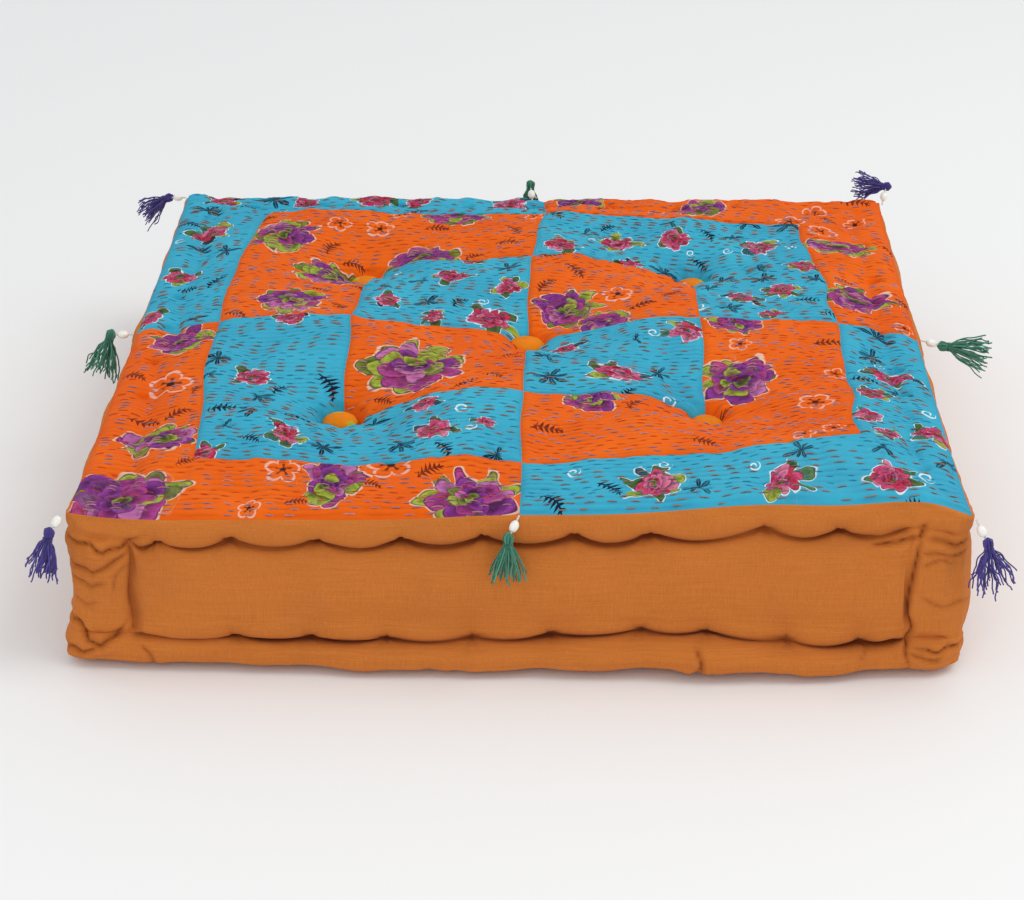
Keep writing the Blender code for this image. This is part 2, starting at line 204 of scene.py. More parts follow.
steps = np.linspace(-HALF, HALF, NET + 1)
net_x, net_y = np.meshgrid(steps, steps, indexing="ij")
sewn_z = SEAM_Z + CROWN * (1 - (net_x / HALF) ** 4) * (1 - (net_y / HALF) ** 4)
for tuft_x, tuft_y in TUFTS:
    away = np.hypot(net_x - tuft_x, net_y - tuft_y)
    sewn_z -= DIMPLE_DEPTH * np.exp(-((away / DIMPLE_WIDTH) ** 1.3))
top_at = numbered(net_x)
sewn = [*np.stack([net_x, net_y, sewn_z], -1).reshape(-1, 3)]
cut = [*np.stack([net_x * EXCESS, net_y * EXCESS, 0 * net_x + SIDE_CLOTH], -1).reshape(-1, 3)]
side_at = np.zeros((ROWS + 1, 4 * NET), int)
for column in range(4 * NET):
    side, place = divmod(column, NET)
    along = steps[place]
    heights, cloth_down, _, _ = side_levels(side, along)
    side_at[0, column] = top_at[[(place, 0), (NET, place), (NET - place, NET), (0, NET - place)][side]]
    for row in range(1, ROWS + 1):
        side_at[row, column] = len(sewn)
        swell = SIDE_SWELL * math.sin(math.pi * row / ROWS)
        sewn.append(np.array(beside(side, along, swell, heights[row])))
        flat = beside(side, along * EXCESS, HALF * (EXCESS - 1), SIDE_CLOTH - cloth_down[row])
        cut.append(np.array(flat))
sewn, cut = np.array(sewn), np.array(cut)
held = np.zeros(len(sewn))
for tuft_x, tuft_y in TUFTS:
    under = top_at[np.hypot(net_x - tuft_x, net_y - tuft_y) < BUTTON_REACH]
    held[under] = 1
    sewn[under, 2] = TUFT_Z + (MIDDLE_LIFT if tuft_x == 0 else 0)
for side in range(4):
    for along in top_pulls[side]:
        x, y, _ = beside(side, along, -EDGE_STITCH, 0)
        nearest = top_at.flat[np.hypot(net_x - x, net_y - y).argmin()]
        held[nearest] = 1
        sewn[nearest, 2] = SEAM_Z + (0.004 if side == 0 else -0.001)
for column in range(4 * NET):
    side, place = divmod(column, NET)
    along = steps[place]
    foot = side_at[ROWS, column]
    held[foot] = 1
    sewn[foot] = beside(side, along * (1 - 0.001 / HALF), -0.001, FOOT_Z)
    if abs(along) > HALF - 0.012:
        continue
    heights, _, droop, lift = side_levels(side, along)
    for row, out in ((TOP_GROOVE, 0.0014 * droop - 0.0024), (BOTTOM_GROOVE, 0.0012 * lift - 0.0020)):
        point = side_at[row, column]
        in_corner = abs(along) > HALF - ROLL_CORNER
        held[point] = 0.5 if in_corner else 1
        sewn[point] = beside(side, along, -0.001 if in_corner else out, heights[row])
for side in range(4):
    for end in (-1, 1):
        place = round((end * (HALF - ROLL_CORNER) / HALF + 1) / 2 * NET)
        for row in range(TOP_GROOVE, BOTTOM_GROOVE + 1):
            down = (row - TOP_GROOVE) / (BOTTOM_GROOVE - TOP_GROOVE)
            point = side_at[row, side * NET + place]
            wave = 0.0015 * math.sin(9 * down + side)
            loose = (side, end) == (0, 1)  # the roll at the front right hangs free of its stitches
            held[point] = 0.3 if loose else 1
            out = 0.0005 if loose else -0.0007 - 0.0006 * math.sin(14 * down + end)
            sewn[point] = beside(side, steps[place] + wave, out, sewn[point, 2])
quads = np.concatenate([quads_of(top_at), quads_of(round_once(side_at))])
cover = new_piece("cover", sewn.tolist(), quads.tolist())
stitched = cover.vertex_groups.new(name="stitched")
for point in np.flatnonzero(held):
    stitched.add([int(point)], float(held[point]), "REPLACE")
cover.shape_key_add(name="sewn")
flat_cut = cover.shape_key_add(name="cut")
flat_cut.data.foreach_set("co", cut.ravel())
flat_cut.value = 0
cloth = cover.modifiers.new("cloth", "CLOTH")
cotton = cloth.settings
cotton.vertex_group_mass = "stitched"
cotton.rest_shape_key = flat_cut
cotton.mass = 0.3
cotton.tension_stiffness, cotton.compression_stiffness, cotton.shear_stiffness = 25, 12, 8
cotton.bending_stiffness, cotton.bending_damping = 0.4, 0.6
cotton.tension_damping = cotton.compression_damping = cotton.shear_damping = 8
cotton.use_pressure = True
cotton.uniform_pressure_force = 5.5
cotton.quality = 6
cotton.air_damping = 2
cotton.effector_weights.gravity = 0
cloth.collision_settings.use_collision = False
cloth.collision_settings.use_self_collision = False
cloth.point_cache.frame_start, cloth.point_cache.frame_end = 1, 30
for moment in range(1, 27):
    bpy.context.scene.frame_set(moment)
puffed = cover.evaluated_get(bpy.context.evaluated_depsgraph_get())
filled = np.zeros(len(sewn) * 3, np.float32)
puffed.data.vertices.foreach_get("co", filled)
moved = filled.reshape(-1, 3).astype(float) - sewn
far = np.linalg.norm(moved, axis=1, keepdims=True)
sewn = sewn + moved * np.minimum(1, MOST_FILLED / np.maximum(far, 1e-9))
bpy.context.scene.frame_set(1)
bpy.data.objects.remove(cover)
sewn[:, 2] = np.maximum(sewn[:, 2], 0.0015)
top_net, side_net = sewn[top_at], sewn[side_at]
# The corners are rounded below the seam.
CORNER_ROUND = 0.020
CORNER_FULL = 0.17  # how far a corner's edge stands out, as a share of the gap between its neighbours
CORNER_EASE = 0.30  # how far those neighbours follow it
for side in range(4):
    for column in range(side * NET, (side + 1) * NET + 1):
        column %= 4 * NET
        for row in range(1, ROWS + 1):
            x, y, z = side_net[row, column]
            gap_x, gap_y = HALF - abs(x), HALF - abs(y)
            near_end = max(gap_x, gap_y)
            rounding = CORNER_ROUND * min(1, row / 4) * min(1, 0.55 + (ROWS - row) / 10)
            if near_end < rounding:
                turn = (1 - near_end / rounding) * math.pi / 4
                slide, tuck = rounding - rounding * math.sin(turn), rounding - rounding * math.cos(turn)
                tucked = tuck + min(gap_x, gap_y)
                new_x = slide if gap_x > gap_y else tucked
                new_y = slide if gap_y > gap_x else tucked
                side_net[row, column] = (math.copysign(HALF - new_x, x), math.copysign(HALF - new_y, y), z)
for corner in range(4):
    columns = [(corner * NET + step) % (4 * NET) for step in (-2, -1, 0, 1, 2)]
    two_before, before, edge, after, two_after = columns
    for row in range(1, ROWS + 1):
        share = min(1, row / 4)
        middle = (side_net[row, before] + side_net[row, after]) / 2
        chord = np.linalg.norm((side_net[row, before] - side_net[row, after])[:2])
        outwards = np.array([math.copysign(0.71, middle[0]), math.copysign(0.71, middle[1]), 0])
        full = middle + outwards * CORNER_FULL * chord
        side_net[row, edge] += share * (full - side_net[row, edge])
        for near, far in ((before, two_before), (after, two_after)):
            eased = (side_net[row, edge] + side_net[row, far]) / 2
            side_net[row, near] += CORNER_EASE * share * (eased - side_net[row, near])
# The bottom roll curls under itself before it meets the panel on the floor.
for row, tuck, rise in ((ROWS - 2, 0, 0.0008), (ROWS - 1, 0.0012, 0.0016), (ROWS, 0.0180, 0)):
    side_net[row, :, :2] *= (HALF - tuck) / HALF
    side_net[row, :, 2] += rise
# Along the front, the filling is thicker at the right than at the left.
for net in (top_net, side_net):
    taller = 0.0095 * bell(net[..., 0] - 0.17, 0.075)
    taller += 0.0105 * bell(net[..., 0] - 0.265, 0.045)
    taller -= 0.0050 * np.exp(-(((net[..., 0] + 0.16) / 0.120) ** 4))
    taller -= 0.0030 * bell(net[..., 0] + 0.29, 0.080)
    taller *= 1 - 0.6 * np.clip((np.abs(net[..., 0]) - 0.27) / 0.03, 0, 1) ** 2
    net[..., 2] += taller * np.exp(-(net[..., 1] + HALF) / 0.075) * np.clip(net[..., 2] / SEAM_Z, 0, 1)
dip = 0.0030 * bell(side_net[..., 0] - 0.210, 0.050)
dip -= 0.0055 * bell(side_net[..., 0] - 0.090, 0.075)
dip *= bell(side_net[..., 2] - 0.028, 0.018)
side_net[..., 2] -= dip * (side_net[..., 1] < -HALF + 0.03)
# The front's roll along the floor sags forward, most at the right, and its left end sticks out.
low = np.clip((0.040 - side_net[..., 2]) / 0.024, 0, 1)
forward = 0.0085 + 0.0045 * bell(side_net[..., 0] + 0.05, 0.120)
forward += 0.0080 * bell(side_net[..., 0] - 0.17, 0.100)
in_front = side_net[..., 1] < -HALF + 0.03
side_net[..., 1] -= low * forward * (1 - (side_net[..., 0] / HALF) ** 6) * in_front
ear = low * np.exp(-((side_net[..., 0] + HALF) ** 2 + (side_net[..., 1] + HALF) ** 2) / (2 * 0.022**2))
side_net[..., 0] -= 0.0075 * ear
side_net[..., 1] -= 0.0025 * ear


def between(net, rows, columns, ring=False):
    """Points of the smooth surface through a net, at rows and columns that may lie between its own."""
    net = np.concatenate([2 * net[:1] - net[1:2], net, 2 * net[-1:] - net[-2:-1]])
    if ring:
        net = np.concatenate([net[:, -1:], net, net[:, :2]], axis=1)
    else:
        net = np.concatenate([2 * net[:, :1] - net[:, 1:2], net, 2 * net[:, -1:] - net[:, -2:-1]], axis=1)
    starts, weights = [], []
    for places, count in ((rows, net.shape[0]), (columns, net.shape[1])):
        start = np.clip(np.floor(places).astype(int), 0, count - 4)
        f = (places - start)[..., None]
        starts.append(start)
        weights.append([
            -f / 2 + f**2 - f**3 / 2, 1 - 2.5 * f**2 + 1.5 * f**3,
            f / 2 + 2 * f**2 - 1.5 * f**3, -(f**2) / 2 + f**3 / 2,
        ])
    total = 0
    for a in range(4):
        for b in range(4):
            total = total + weights[0][a] * weights[1][b] * net[starts[0] + a, starts[1] + b]
    return total


def outward(points, ring=False):
    """Unit normals of a grid of points, rows first."""
    down = np.gradient(points, axis=0)
    if ring:
        across = np.roll(points, -1, axis=1) - np.roll(points, 1, axis=1)
    else:
        across = np.gradient(points, axis=1)
    normals = np.cross(down, across)
    return normals / np.maximum(np.linalg.norm(normals, axis=-1, keepdims=True), 1e-12)


def uneven(a, b, size, seed, waves=10):
    """Smooth unevenness of about -1 to 1 whose bumps are about half of size across."""
    dice = np.random.default_rng(seed)
    total = 0
    for _ in range(waves):
        turn, phase = dice.uniform(0, 2 * math.pi), dice.uniform(0, 2 * math.pi)
        rounds = 2 * math.pi / (size * dice.uniform(0.7, 1.5))
        total = total + np.sin(rounds * (a * math.cos(turn) + b * math.sin(turn)) + phase)
    return total * 1.2 / math.sqrt(waves)


def crease(distance, width):
    """1 on a line, and 0 a little way off it."""
    return np.exp(-np.abs(distance) / width)


def cloth_piece(name, points, faces, normals=None, under=0.0):
    """A sheet of cloth as an object. With under, its edges are turned in by that much, as at a seam."""
    used, faces = np.unique(faces, return_inverse=True)
    faces = faces.reshape(-1, 4)
    points = points[used]
    if under:
        starts, ends = faces.ravel(), np.roll(faces, -1, axis=1).ravel()
        both = np.sort(np.stack([starts, ends], 1), axis=1)
        _, index, count = np.unique(both, axis=0, return_inverse=True, return_counts=True)
        rim = count[index.reshape(-1)] == 1
        starts, ends = starts[rim], ends[rim]
        corners, order = np.unique(np.concatenate([starts, ends]), return_inverse=True)
        order = order.reshape(-1) + len(points)
        starts_in, ends_in = order[: len(starts)], order[len(starts) :]
        points = np.concatenate([points, points[corners] - normals[used][corners] * under])
        faces = np.concatenate([faces, np.stack([ends, starts, starts_in, ends_in], 1)])
    piece = new_piece(name, points.tolist(), faces.tolist())
    piece.data.set_sharp_from_angle(angle=math.radians(62))
    return piece


def mark(mesh, label, values, domain="POINT"):
    """Gives each point, face or face corner of a mesh its own number, or its own three numbers."""
    kind, field = ("FLOAT", "value") if values.ndim == 1 else ("FLOAT_VECTOR", "vector")
    mesh.attributes.new(label, kind, domain).data.foreach_set(field, values.ravel())


# ---------------------------------------------------------------------------------------------
# The patchwork top: twelve cotton patches, in three rings of four corners, sewn edge to edge.
# Orange and turquoise block prints alternate. Running stitches all over hold them on a backing,
# and pucker the cloth into fine ripples between the rows.
# ---------------------------------------------------------------------------------------------
INNER = TUFT_AT  # half the side of the middle square
MIDDLE = round(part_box("patch_middle_back_right")[1].x, 3)  # half the side of the next ring
ROW_GAP = 0.005  # between two rows of running stitches
STITCH = 0.0062  # length of one stitch on top
STITCH_STEP = 0.0145  # from one stitch to the next in its row
STITCH_HALVING = 0.45  # of a step, by which each row that shows no thread is shifted
RIPPLE = 0.00065  # height of the puckers between the rows
STITCH_DENT = 0.00022  # how far a stitch sinks into the cloth
SEAM_DIP, SEAM_WIDTH = 0.0011, 0.0019  # the groove along a seam between patches
TUFT_FOLD = 0.0026  # height of the folds that run to a tuft
TURN_IN = 0.0016  # how far a patch's edges are turned in
# The patches are cut by eye, so their corners lie a little off the square: (corner, shift).
OFF_SQUARE = [
    ((-0.236, 0.236), (0.009, 0.012)),
    ((0.236, 0.236), (-0.015, -0.014)),
    ((-0.236, -0.236), (0.012, 0.005)),
    ((0.236, -0.236), (-0.002, 0.036)),
    ((0.132, -0.132), (0.000, 0.006)),
    ((0.000, 0.260), (0.012, -0.008)),
]


def drawn_line(fine, extra):
    """Places of the cloth's threads along one side, closer together by the seams."""
    lines = [np.arange(-HALF, HALF + fine / 2, fine)]
    for seam in (0, INNER, -INNER, MIDDLE, -MIDDLE):
        lines.append(np.array([seam - extra, seam, seam + extra]))
    lines = np.unique(np.round(np.concatenate(lines), 5))
    return lines[np.concatenate([[True], np.diff(lines) > 0.0003])]


across, back = drawn_line(0.002, 0.0008), drawn_line(0.001, 0.0005)
flat_x, flat_y = np.meshgrid(across, back, indexing="ij")


def on_top(x, y):
    """Where the cover lies at a place of the flat patchwork, after its cutting errors."""
    shift_x, shift_y = 0.0012 * uneven(x, y, 0.09, 21), 0.0012 * uneven(x, y, 0.09, 22)
    for (corner_x, corner_y), (move_x, move_y) in OFF_SQUARE:
        pull = np.exp(-((x - corner_x) ** 2 + (y - corner_y) ** 2) / (2 * 0.070**2))
        shift_x, shift_y = shift_x + move_x * pull, shift_y + move_y * pull
    shift_x = shift_x * np.clip((HALF - np.abs(x)) / 0.050, 0, 1)
    shift_y = shift_y * np.clip((HALF - np.abs(y)) / 0.050, 0, 1)
    return between(top_net, ((x + shift_x) / HALF + 1) / 2 * NET, ((y + shift_y) / HALF + 1) / 2 * NET)


def seam_distance(x, y):
    """How far a place of the flat patchwork is from the nearest seam."""
    ring = np.maximum(np.abs(x), np.abs(y))
    cross = np.minimum(np.abs(x), np.abs(y))
    return np.minimum.reduce([np.abs(ring - INNER), np.abs(ring - MIDDLE), cross, HALF - ring])


# The running stitches, row by row. Three rows in six carry a thread that shows on the cloth.
chance = np.random.default_rng(31)
stitches = []
for row in range(int(2 * HALF / ROW_GAP)):
    y = -HALF + (row + 0.6) * ROW_GAP
    shows = row % 6 in (0, 1, 2)
    if row % 6 in (0, 3):
        start = chance.uniform(0, STITCH_STEP)
    elif not shows:
        start += STITCH_STEP * STITCH_HALVING
    x = -HALF - STITCH_STEP + start % STITCH_STEP
    while x < HALF:
        x += STITCH_STEP * chance.uniform(0.93, 1.07)
        place_y = y + chance.uniform(-0.0006, 0.0006)
        ring = max(abs(x), abs(place_y))
        crossing = min(abs(ring - INNER), abs(ring - MIDDLE)) if abs(x) > abs(place_y) else 1
        at_edge = abs(x) > HALF - 0.006 or abs(place_y) > HALF - 0.003
        if min(crossing, abs(x)) < STITCH * 0.6 or at_edge or chance.random() < 0.05:
            continue
        if min(math.hypot(x - a, place_y - b) for a, b in TUFTS) < 0.015:
            continue
        long = chance.uniform(0.9, 1.3) if shows else chance.uniform(0.7, 1.1)
        stitches.append((x, place_y, long, chance.uniform(-0.07, 0.07), shows))

surface = on_top(flat_x, flat_y)
top_normals = outward(surface)
inside = np.clip((HALF - np.maximum(np.abs(flat_x), np.abs(flat_y))) / 0.03, 0, 1)
raised = 0.0020 * uneven(flat_x, flat_y, 0.11, 3) * inside + 0.0007 * uneven(flat_x, flat_y, 0.035, 4)
row_place = (flat_y + HALF) / ROW_GAP - 0.6 + 0.10 * uneven(flat_x, flat_y, 0.06, 5)
ripple = np.abs(np.sin(math.pi * row_place)) ** 0.8 - 0.5
raised += RIPPLE * ripple * (0.75 + 0.35 * uneven(flat_x, flat_y, 0.05, 6))
raised += 0.00022 * uneven(flat_x * 0.5, flat_y, 0.007, 8)
for tuft_x, tuft_y in TUFTS:
    away = np.hypot(flat_x - tuft_x, flat_y - tuft_y)
    turn = np.arctan2(flat_y - tuft_y, flat_x - tuft_x)
    folds = np.sin(7 * turn + 2.1 * tuft_x / TUFT_AT + uneven(flat_x, flat_y, 0.08, 9))
    raised += TUFT_FOLD * folds * np.exp(-away / 0.030) * np.clip((away - 0.010) / 0.012, 0, 1)
# The stitches along the edges also draw the top down, and a soft roll stands outside them.
for side in range(4):
    edge_x, edge_y = [(flat_x, flat_y), (flat_y, -flat_x), (-flat_x, -flat_y), (-flat_y, flat_x)][side]
    from_edge = edge_y + HALF
    strength = 0.45 if side == 0 else 1.0
    near_pull = sum(bell(edge_x - pull, 0.010) for pull in top_pulls[side])
    from_stitch = from_edge - EDGE_STITCH - 0.002 * uneven(edge_x, 0, 0.07, 81 + side)
    raised -= strength * (0.0008 + 0.0024 * near_pull) * crease(from_stitch, 0.0030)
    roll = np.sin(math.pi * np.clip(from_edge / EDGE_STITCH, 0, 1))
    raised += strength * 0.0016 * roll * (1 - 0.9 * near_pull)
raised -= 0.0055 * np.exp(-((flat_x / 0.034) ** 2) - (((flat_y + 0.030) / 0.022) ** 2))
apart = seam_distance(flat_x, flat_y)
raised += -SEAM_DIP * bell(apart, SEAM_WIDTH) + 0.0004 * bell(apart - 0.005, 0.003)
for x, y, long, _, _ in stitches:
    reach_x, reach_y = STITCH * long / 2 + 0.001, 0.0025
    a0, a1 = np.searchsorted(across, [x - reach_x, x + reach_x])
    b0, b1 = np.searchsorted(back, [y - reach_y, y + reach_y])
    raised[a0:a1, b0:b1] -= STITCH_DENT * np.exp(-((back[b0:b1] - y) / 0.0011) ** 2)
raised *= np.clip((HALF - np.maximum(np.abs(flat_x), np.abs(flat_y))) / 0.003, 0, 1)
# Painted shade: darkest down between the ripples and along the seam grooves.
valley = np.clip(0.45 - ripple, 0, 1) * np.clip(0.75 + 0.5 * uneven(flat_x, flat_y, 0.04, 82), 0, 1.2)
valley = np.clip(valley + 0.8 * crease(apart, 0.0016), 0, 1)
surface = surface + top_normals * raised[..., None]
top_normals = outward(surface)


class Nodes:
    """A node tree. Each call adds one node and gives its result."""

    family, sums = "", "ShaderNodeMath"

    def feed(self, socket, value):
        if isinstance(value, bpy.types.NodeSocket):
            self.tree.links.new(value, socket)
        else:
            socket.default_value = value

    def node(self, kind, inputs=(), result=0, **looks):
        made = self.tree.nodes.new(self.family + kind)
        for name, value in looks.items():
            setattr(made, name, value)
        for name, value in dict(inputs).items():
            self.feed(made.inputs[name], value)
        return made.outputs[result]

    def sum(self, operation, *values):
        return self.node(self.sums, enumerate(values), operation=operation)

    def plus(self, one, other):
        return self.sum("ADD", one, other)

    def minus(self, one, other):
        return self.sum("SUBTRACT", one, other)

    def times(self, one, other):
        return self.sum("MULTIPLY", one, other)


class Dye(Nodes):
    """A cloth's or yarn's finish, as shader nodes."""

    family, sums = "ShaderNode", "Math"

    def __init__(self, name):
        self.material = bpy.data.materials.new(name)
        self.material.use_nodes = True
        self.tree = self.material.node_tree
        self.shader = self.tree.nodes["Principled BSDF"]

    def blend(self, share, under, over, kind="MIX"):
        return self.node("Mix", {0: share, 6: under, 7: over}, 2, data_type="RGBA", blend_type=kind)

    def steps(self, share, stops, smooth=True):
        made = self.node("ValToRGB", {0: share})
        ramp = made.node.color_ramp
        ramp.interpolation = "LINEAR" if smooth else "CONSTANT"
        while len(ramp.elements) < len(stops):
            ramp.elements.new(0.5)
        for element, (place, colour) in zip(ramp.elements, stops):
            element.position = place
            element.color = (*colour, 1)
        return made

    def noise(self, vector, scale, detail=2.0, rough=0.5):
        return self.node("TexNoise", {"Vector": vector, "Scale": scale, "Detail": detail, "Roughness": rough})

    def between(self, value, low, high):
        """0 below low and 1 above high."""
        return self.node("MapRange", {0: value, 1: low, 2: high, 3: 0.0, 4: 1.0}, clamp=True)

    def own_place(self, stretch=(1, 1, 1)):
        place = self.node("TexCoord", result=3)
        return self.node("Mapping", {"Vector": place, "Scale": stretch})

    def finish(self, colour, roughness, height=None, depth=0.0, sheen=0.0, bump=1.0, gloss=0.1):
        self.feed(self.shader.inputs["Base Color"], colour)
        self.feed(self.shader.inputs["Roughness"], roughness)
        self.shader.inputs["Sheen Weight"].default_value = sheen
        self.shader.inputs["Sheen Roughness"].default_value = 0.5
        self.shader.inputs["Specular IOR Level"].default_value = gloss
        if height is not None:
            normal = self.node("Bump", {"Strength": bump, "Distance": depth, "Height": height})
            self.feed(self.shader.inputs["Normal"], normal)
        return self.material


def weave(dye, place, pitch):
    """Height of a plain weave: threads over and under each other."""
    parts = dye.node("SeparateXYZ", {0: place})
    x, y, z = parts, parts.node.outputs[1], parts.node.outputs[2]
    rounds = 2 * math.pi / (2 * pitch)
    one = dye.sum("SINE", dye.times(x, rounds))
    two = dye.sum("SINE", dye.times(dye.plus(y, z), rounds))
    return dye.sum("ABSOLUTE", dye.plus(one, two))


def polar(dye, u, v):
    """How far a place is from a motif's middle, and its turn round it, from -0.5 to 0.5."""
    radius = dye.sum("SQRT", dye.plus(dye.times(u, u), dye.times(v, v)))
    return radius, dye.times(dye.sum("ARCTAN2", v, u), 1 / (2 * math.pi))


def petal_rings(dye, under, u, v, seed, rings, tones, line, halo_colour, halo):
    """A printed bloom: rings of rounded petals over each other, with bright edges and dark hearts.

    Each ring gives its reach, how many petals, how deep and how pointed they are, and the share left out.
    """
    place = dye.node("CombineXYZ", {0: u, 1: v, 2: dye.times(seed, 9.0)})
    wobble = dye.node("TexNoise", {"Vector": place, "Scale": 1.4, "Detail": 1.0}, 1)
    wobble = dye.node("SeparateXYZ", {0: wobble})
    u = dye.plus(u, dye.times(dye.minus(wobble, 0.5), 0.75))
    v = dye.plus(v, dye.times(dye.minus(wobble.node.outputs[1], 0.5), 0.75))
    radius, turn = polar(dye, u, v)
    turn = dye.plus(turn, 0.5)
    veins = dye.noise(place, 9.0, 2.0)
    paints, halos = [], None
    for number, (reach, count, depth, power, missing) in enumerate(rings):
        shift = dye.times(seed, 5.3 + 2.9 * number)
        along = dye.plus(dye.times(turn, float(count)), shift)
        petal = dye.sum("FLOORED_MODULO", dye.sum("FLOOR", along), float(count))
        lobe = dye.sum("POWER", dye.sum("SINE", dye.times(dye.sum("FRACT", along), math.pi)), power)
        mark = dye.plus(dye.times(petal, 3.71), dye.plus(shift, number * 7.7))
        dice = dye.node("TexWhiteNoise", {"W": mark}, 1, noise_dimensions="1D")
        dice = dye.node("SeparateXYZ", {0: dice})
        size = dye.plus(dye.times(dice.node.outputs[1], 0.28), 0.86)
        edge = dye.times(dye.plus(dye.times(lobe, depth), 1 - depth), dye.times(size, reach))
        if missing:
            present = dye.sum("GREATER_THAN", dice.node.outputs[2], missing)
            edge = dye.times(edge, dye.plus(dye.times(present, 0.9), 0.1))
        inner = dye.sum("DIVIDE", dye.minus(edge, radius), reach)
        tone = dye.steps(dice, tones[number], smooth=False)
        greys = [(0.0, 0.9), (0.06, 1.0), (0.22, 0.72), (0.45, 0.26)]
        shade = dye.steps(inner, [(depth_in, (grey,) * 3) for depth_in, grey in greys])
        tone = dye.blend(1.0, tone, shade, "MULTIPLY")
        tone = dye.blend(dye.times(dye.between(veins, 0.48, 0.64), 0.42), tone, line)
        rim = dye.between(inner, 0.055, 0.02)
        tone = dye.blend(dye.times(rim, 0.75), tone, line)
        paints.append((dye.between(inner, -0.01, 0.01), tone))
        glow = dye.between(inner, -halo / reach - 0.012, -halo / reach + 0.012)
        halos = glow if halos is None else dye.sum("MAXIMUM", halos, glow)
    made = dye.blend(halos, under, halo_colour)
    for share, tone in paints:
        made = dye.blend(share, made, tone)
    return made


def fern(dye, under, u, v, seed, ink, lean=2.2):
    """A printed sprig: a bent stem with slim leaves on both sides."""
    bent = dye.plus(v, dye.times(dye.times(u, u), 0.35))
    bent = dye.sum("ABSOLUTE", dye.minus(bent, 0.12))
    length = dye.sum("ABSOLUTE", u)
    stem = dye.times(dye.between(bent, 0.07, 0.04), dye.between(length, 0.95, 0.9))
    place = dye.minus(dye.times(u, 3.4), dye.times(bent, lean))
    tooth = dye.sum("ABSOLUTE", dye.minus(dye.sum("FRACT", dye.plus(place, seed)), 0.5))
    limit = dye.minus(0.58, dye.times(dye.times(u, u), 0.45))
    width = dye.times(dye.minus(limit, bent), 0.85)
    leaves = dye.times(dye.sum("LESS_THAN", tooth, width), dye.between(length, 0.92, 0.85))
    leaves = dye.times(leaves, dye.between(tooth, 0.36, 0.30))
    return dye.blend(dye.sum("MAXIMUM", stem, leaves), under, ink)


def outline_flower(dye, under, u, v, seed, ink, heart):
    """A printed flower drawn in outline, with a dark heart."""
    radius, turn = polar(dye, u, v)
    petal = dye.sum("FRACT", dye.plus(dye.times(turn, 5.0), seed))
    lobe = dye.sum("SINE", dye.times(petal, math.pi))
    edge = dye.plus(dye.times(dye.sum("POWER", lobe, 0.6), 0.36), 0.42)
    line = dye.between(dye.sum("ABSOLUTE", dye.minus(radius, edge)), 0.085, 0.05)
    made = dye.blend(line, under, ink)
    strokes = dye.between(dye.sum("ABSOLUTE", dye.minus(lobe, 0.95)), 0.10, 0.05)
    strokes = dye.times(strokes, dye.times(dye.between(radius, 0.42, 0.36), 0.8))
    made = dye.blend(strokes, made, heart)
    return dye.blend(dye.between(radius, 0.17, 0.12), made, heart)


def leaf_spray(dye, under, u, v, seed, ink):
    """A printed spray of pointed leaves round one point, a few of them missing."""
    radius, turn = polar(dye, u, v)
    turn = dye.plus(turn, 0.5)
    along = dye.plus(dye.times(turn, 8.0), dye.times(seed, 7.0))
    mark = dye.plus(dye.sum("FLOORED_MODULO", dye.sum("FLOOR", along), 8.0), dye.times(seed, 31.0))
    size = dye.node("TexWhiteNoise", {"W": mark}, 0, noise_dimensions="1D")
    size = dye.between(size, 0.25, 0.75)
    lobe = dye.sum("POWER", dye.sum("SINE", dye.times(dye.sum("FRACT", along), math.pi)), 0.8)
    edge = dye.times(lobe, dye.plus(dye.times(size, 0.75), 0.2))
    made = dye.between(dye.minus(edge, radius), -0.03, 0.03)
    vein = dye.between(dye.sum("ABSOLUTE", dye.minus(lobe, 1.0)), 0.005, 0.02)
    return dye.blend(dye.times(made, dye.plus(dye.times(vein, 0.5), 0.5)), under, ink)


def curl(dye, under, u, v, ink):
    """A printed curl: one round of an open spiral."""
    radius, turn = polar(dye, u, v)
    wind = dye.sum("FRACT", dye.minus(dye.times(radius, 1.7), turn))
    line = dye.between(dye.sum("ABSOLUTE", dye.minus(wind, 0.5)), 0.20, 0.13)
    line = dye.times(line, dye.between(radius, 0.85, 0.78))
    return dye.blend(dye.times(line, dye.between(radius, 0.16, 0.22)), under, ink)


def printed_cotton(name, ground, darker, paint):
    """Thin printed cotton. paint adds the motifs, each with its own place, seed and kind."""
    dye = Dye(name)
    motif = dye.node("Attribute", result=1, attribute_name="motif")
    parts = dye.node("SeparateXYZ", {0: motif})
    u, v, seed = parts, parts.node.outputs[1], parts.node.outputs[2]
    kind = dye.node("Attribute", result=2, attribute_name="motif_kind")
    place = dye.own_place()
    faded = dye.noise(place, 16.0, 3.0)
    made = dye.blend(dye.between(faded, 0.35, 0.7), ground, darker)
    made = paint(dye, made, u, v, seed, kind)
    # Painted shade between the ripples, along the seams and on the turned-in rims.
    valley = dye.node("Attribute", result=2, attribute_name="valley")
    deep = dye.blend(1.0, made, (0.70, 0.62, 0.66, 1), "MULTIPLY")
    made = dye.blend(dye.times(valley, 0.62), made, deep)
    threads = weave(dye, place, 0.00034)
    made = dye.blend(dye.times(dye.between(threads, 0.5, 0.0), 0.22), made, (0.05, 0.03, 0.03, 1))
    slub = dye.noise(dye.own_place((260, 2600, 900)), 1.0, 2.0)
    height = dye.plus(dye.times(threads, 0.5), slub)
    return dye.finish(made, 0.88, height, 0.00022, sheen=0.03, bump=0.6)


def only(dye, kind, number, under, over):
    """Shows over where the motif is of this kind."""
    return dye.blend(dye.sum("COMPARE", kind, float(number), 0.3), under, over)


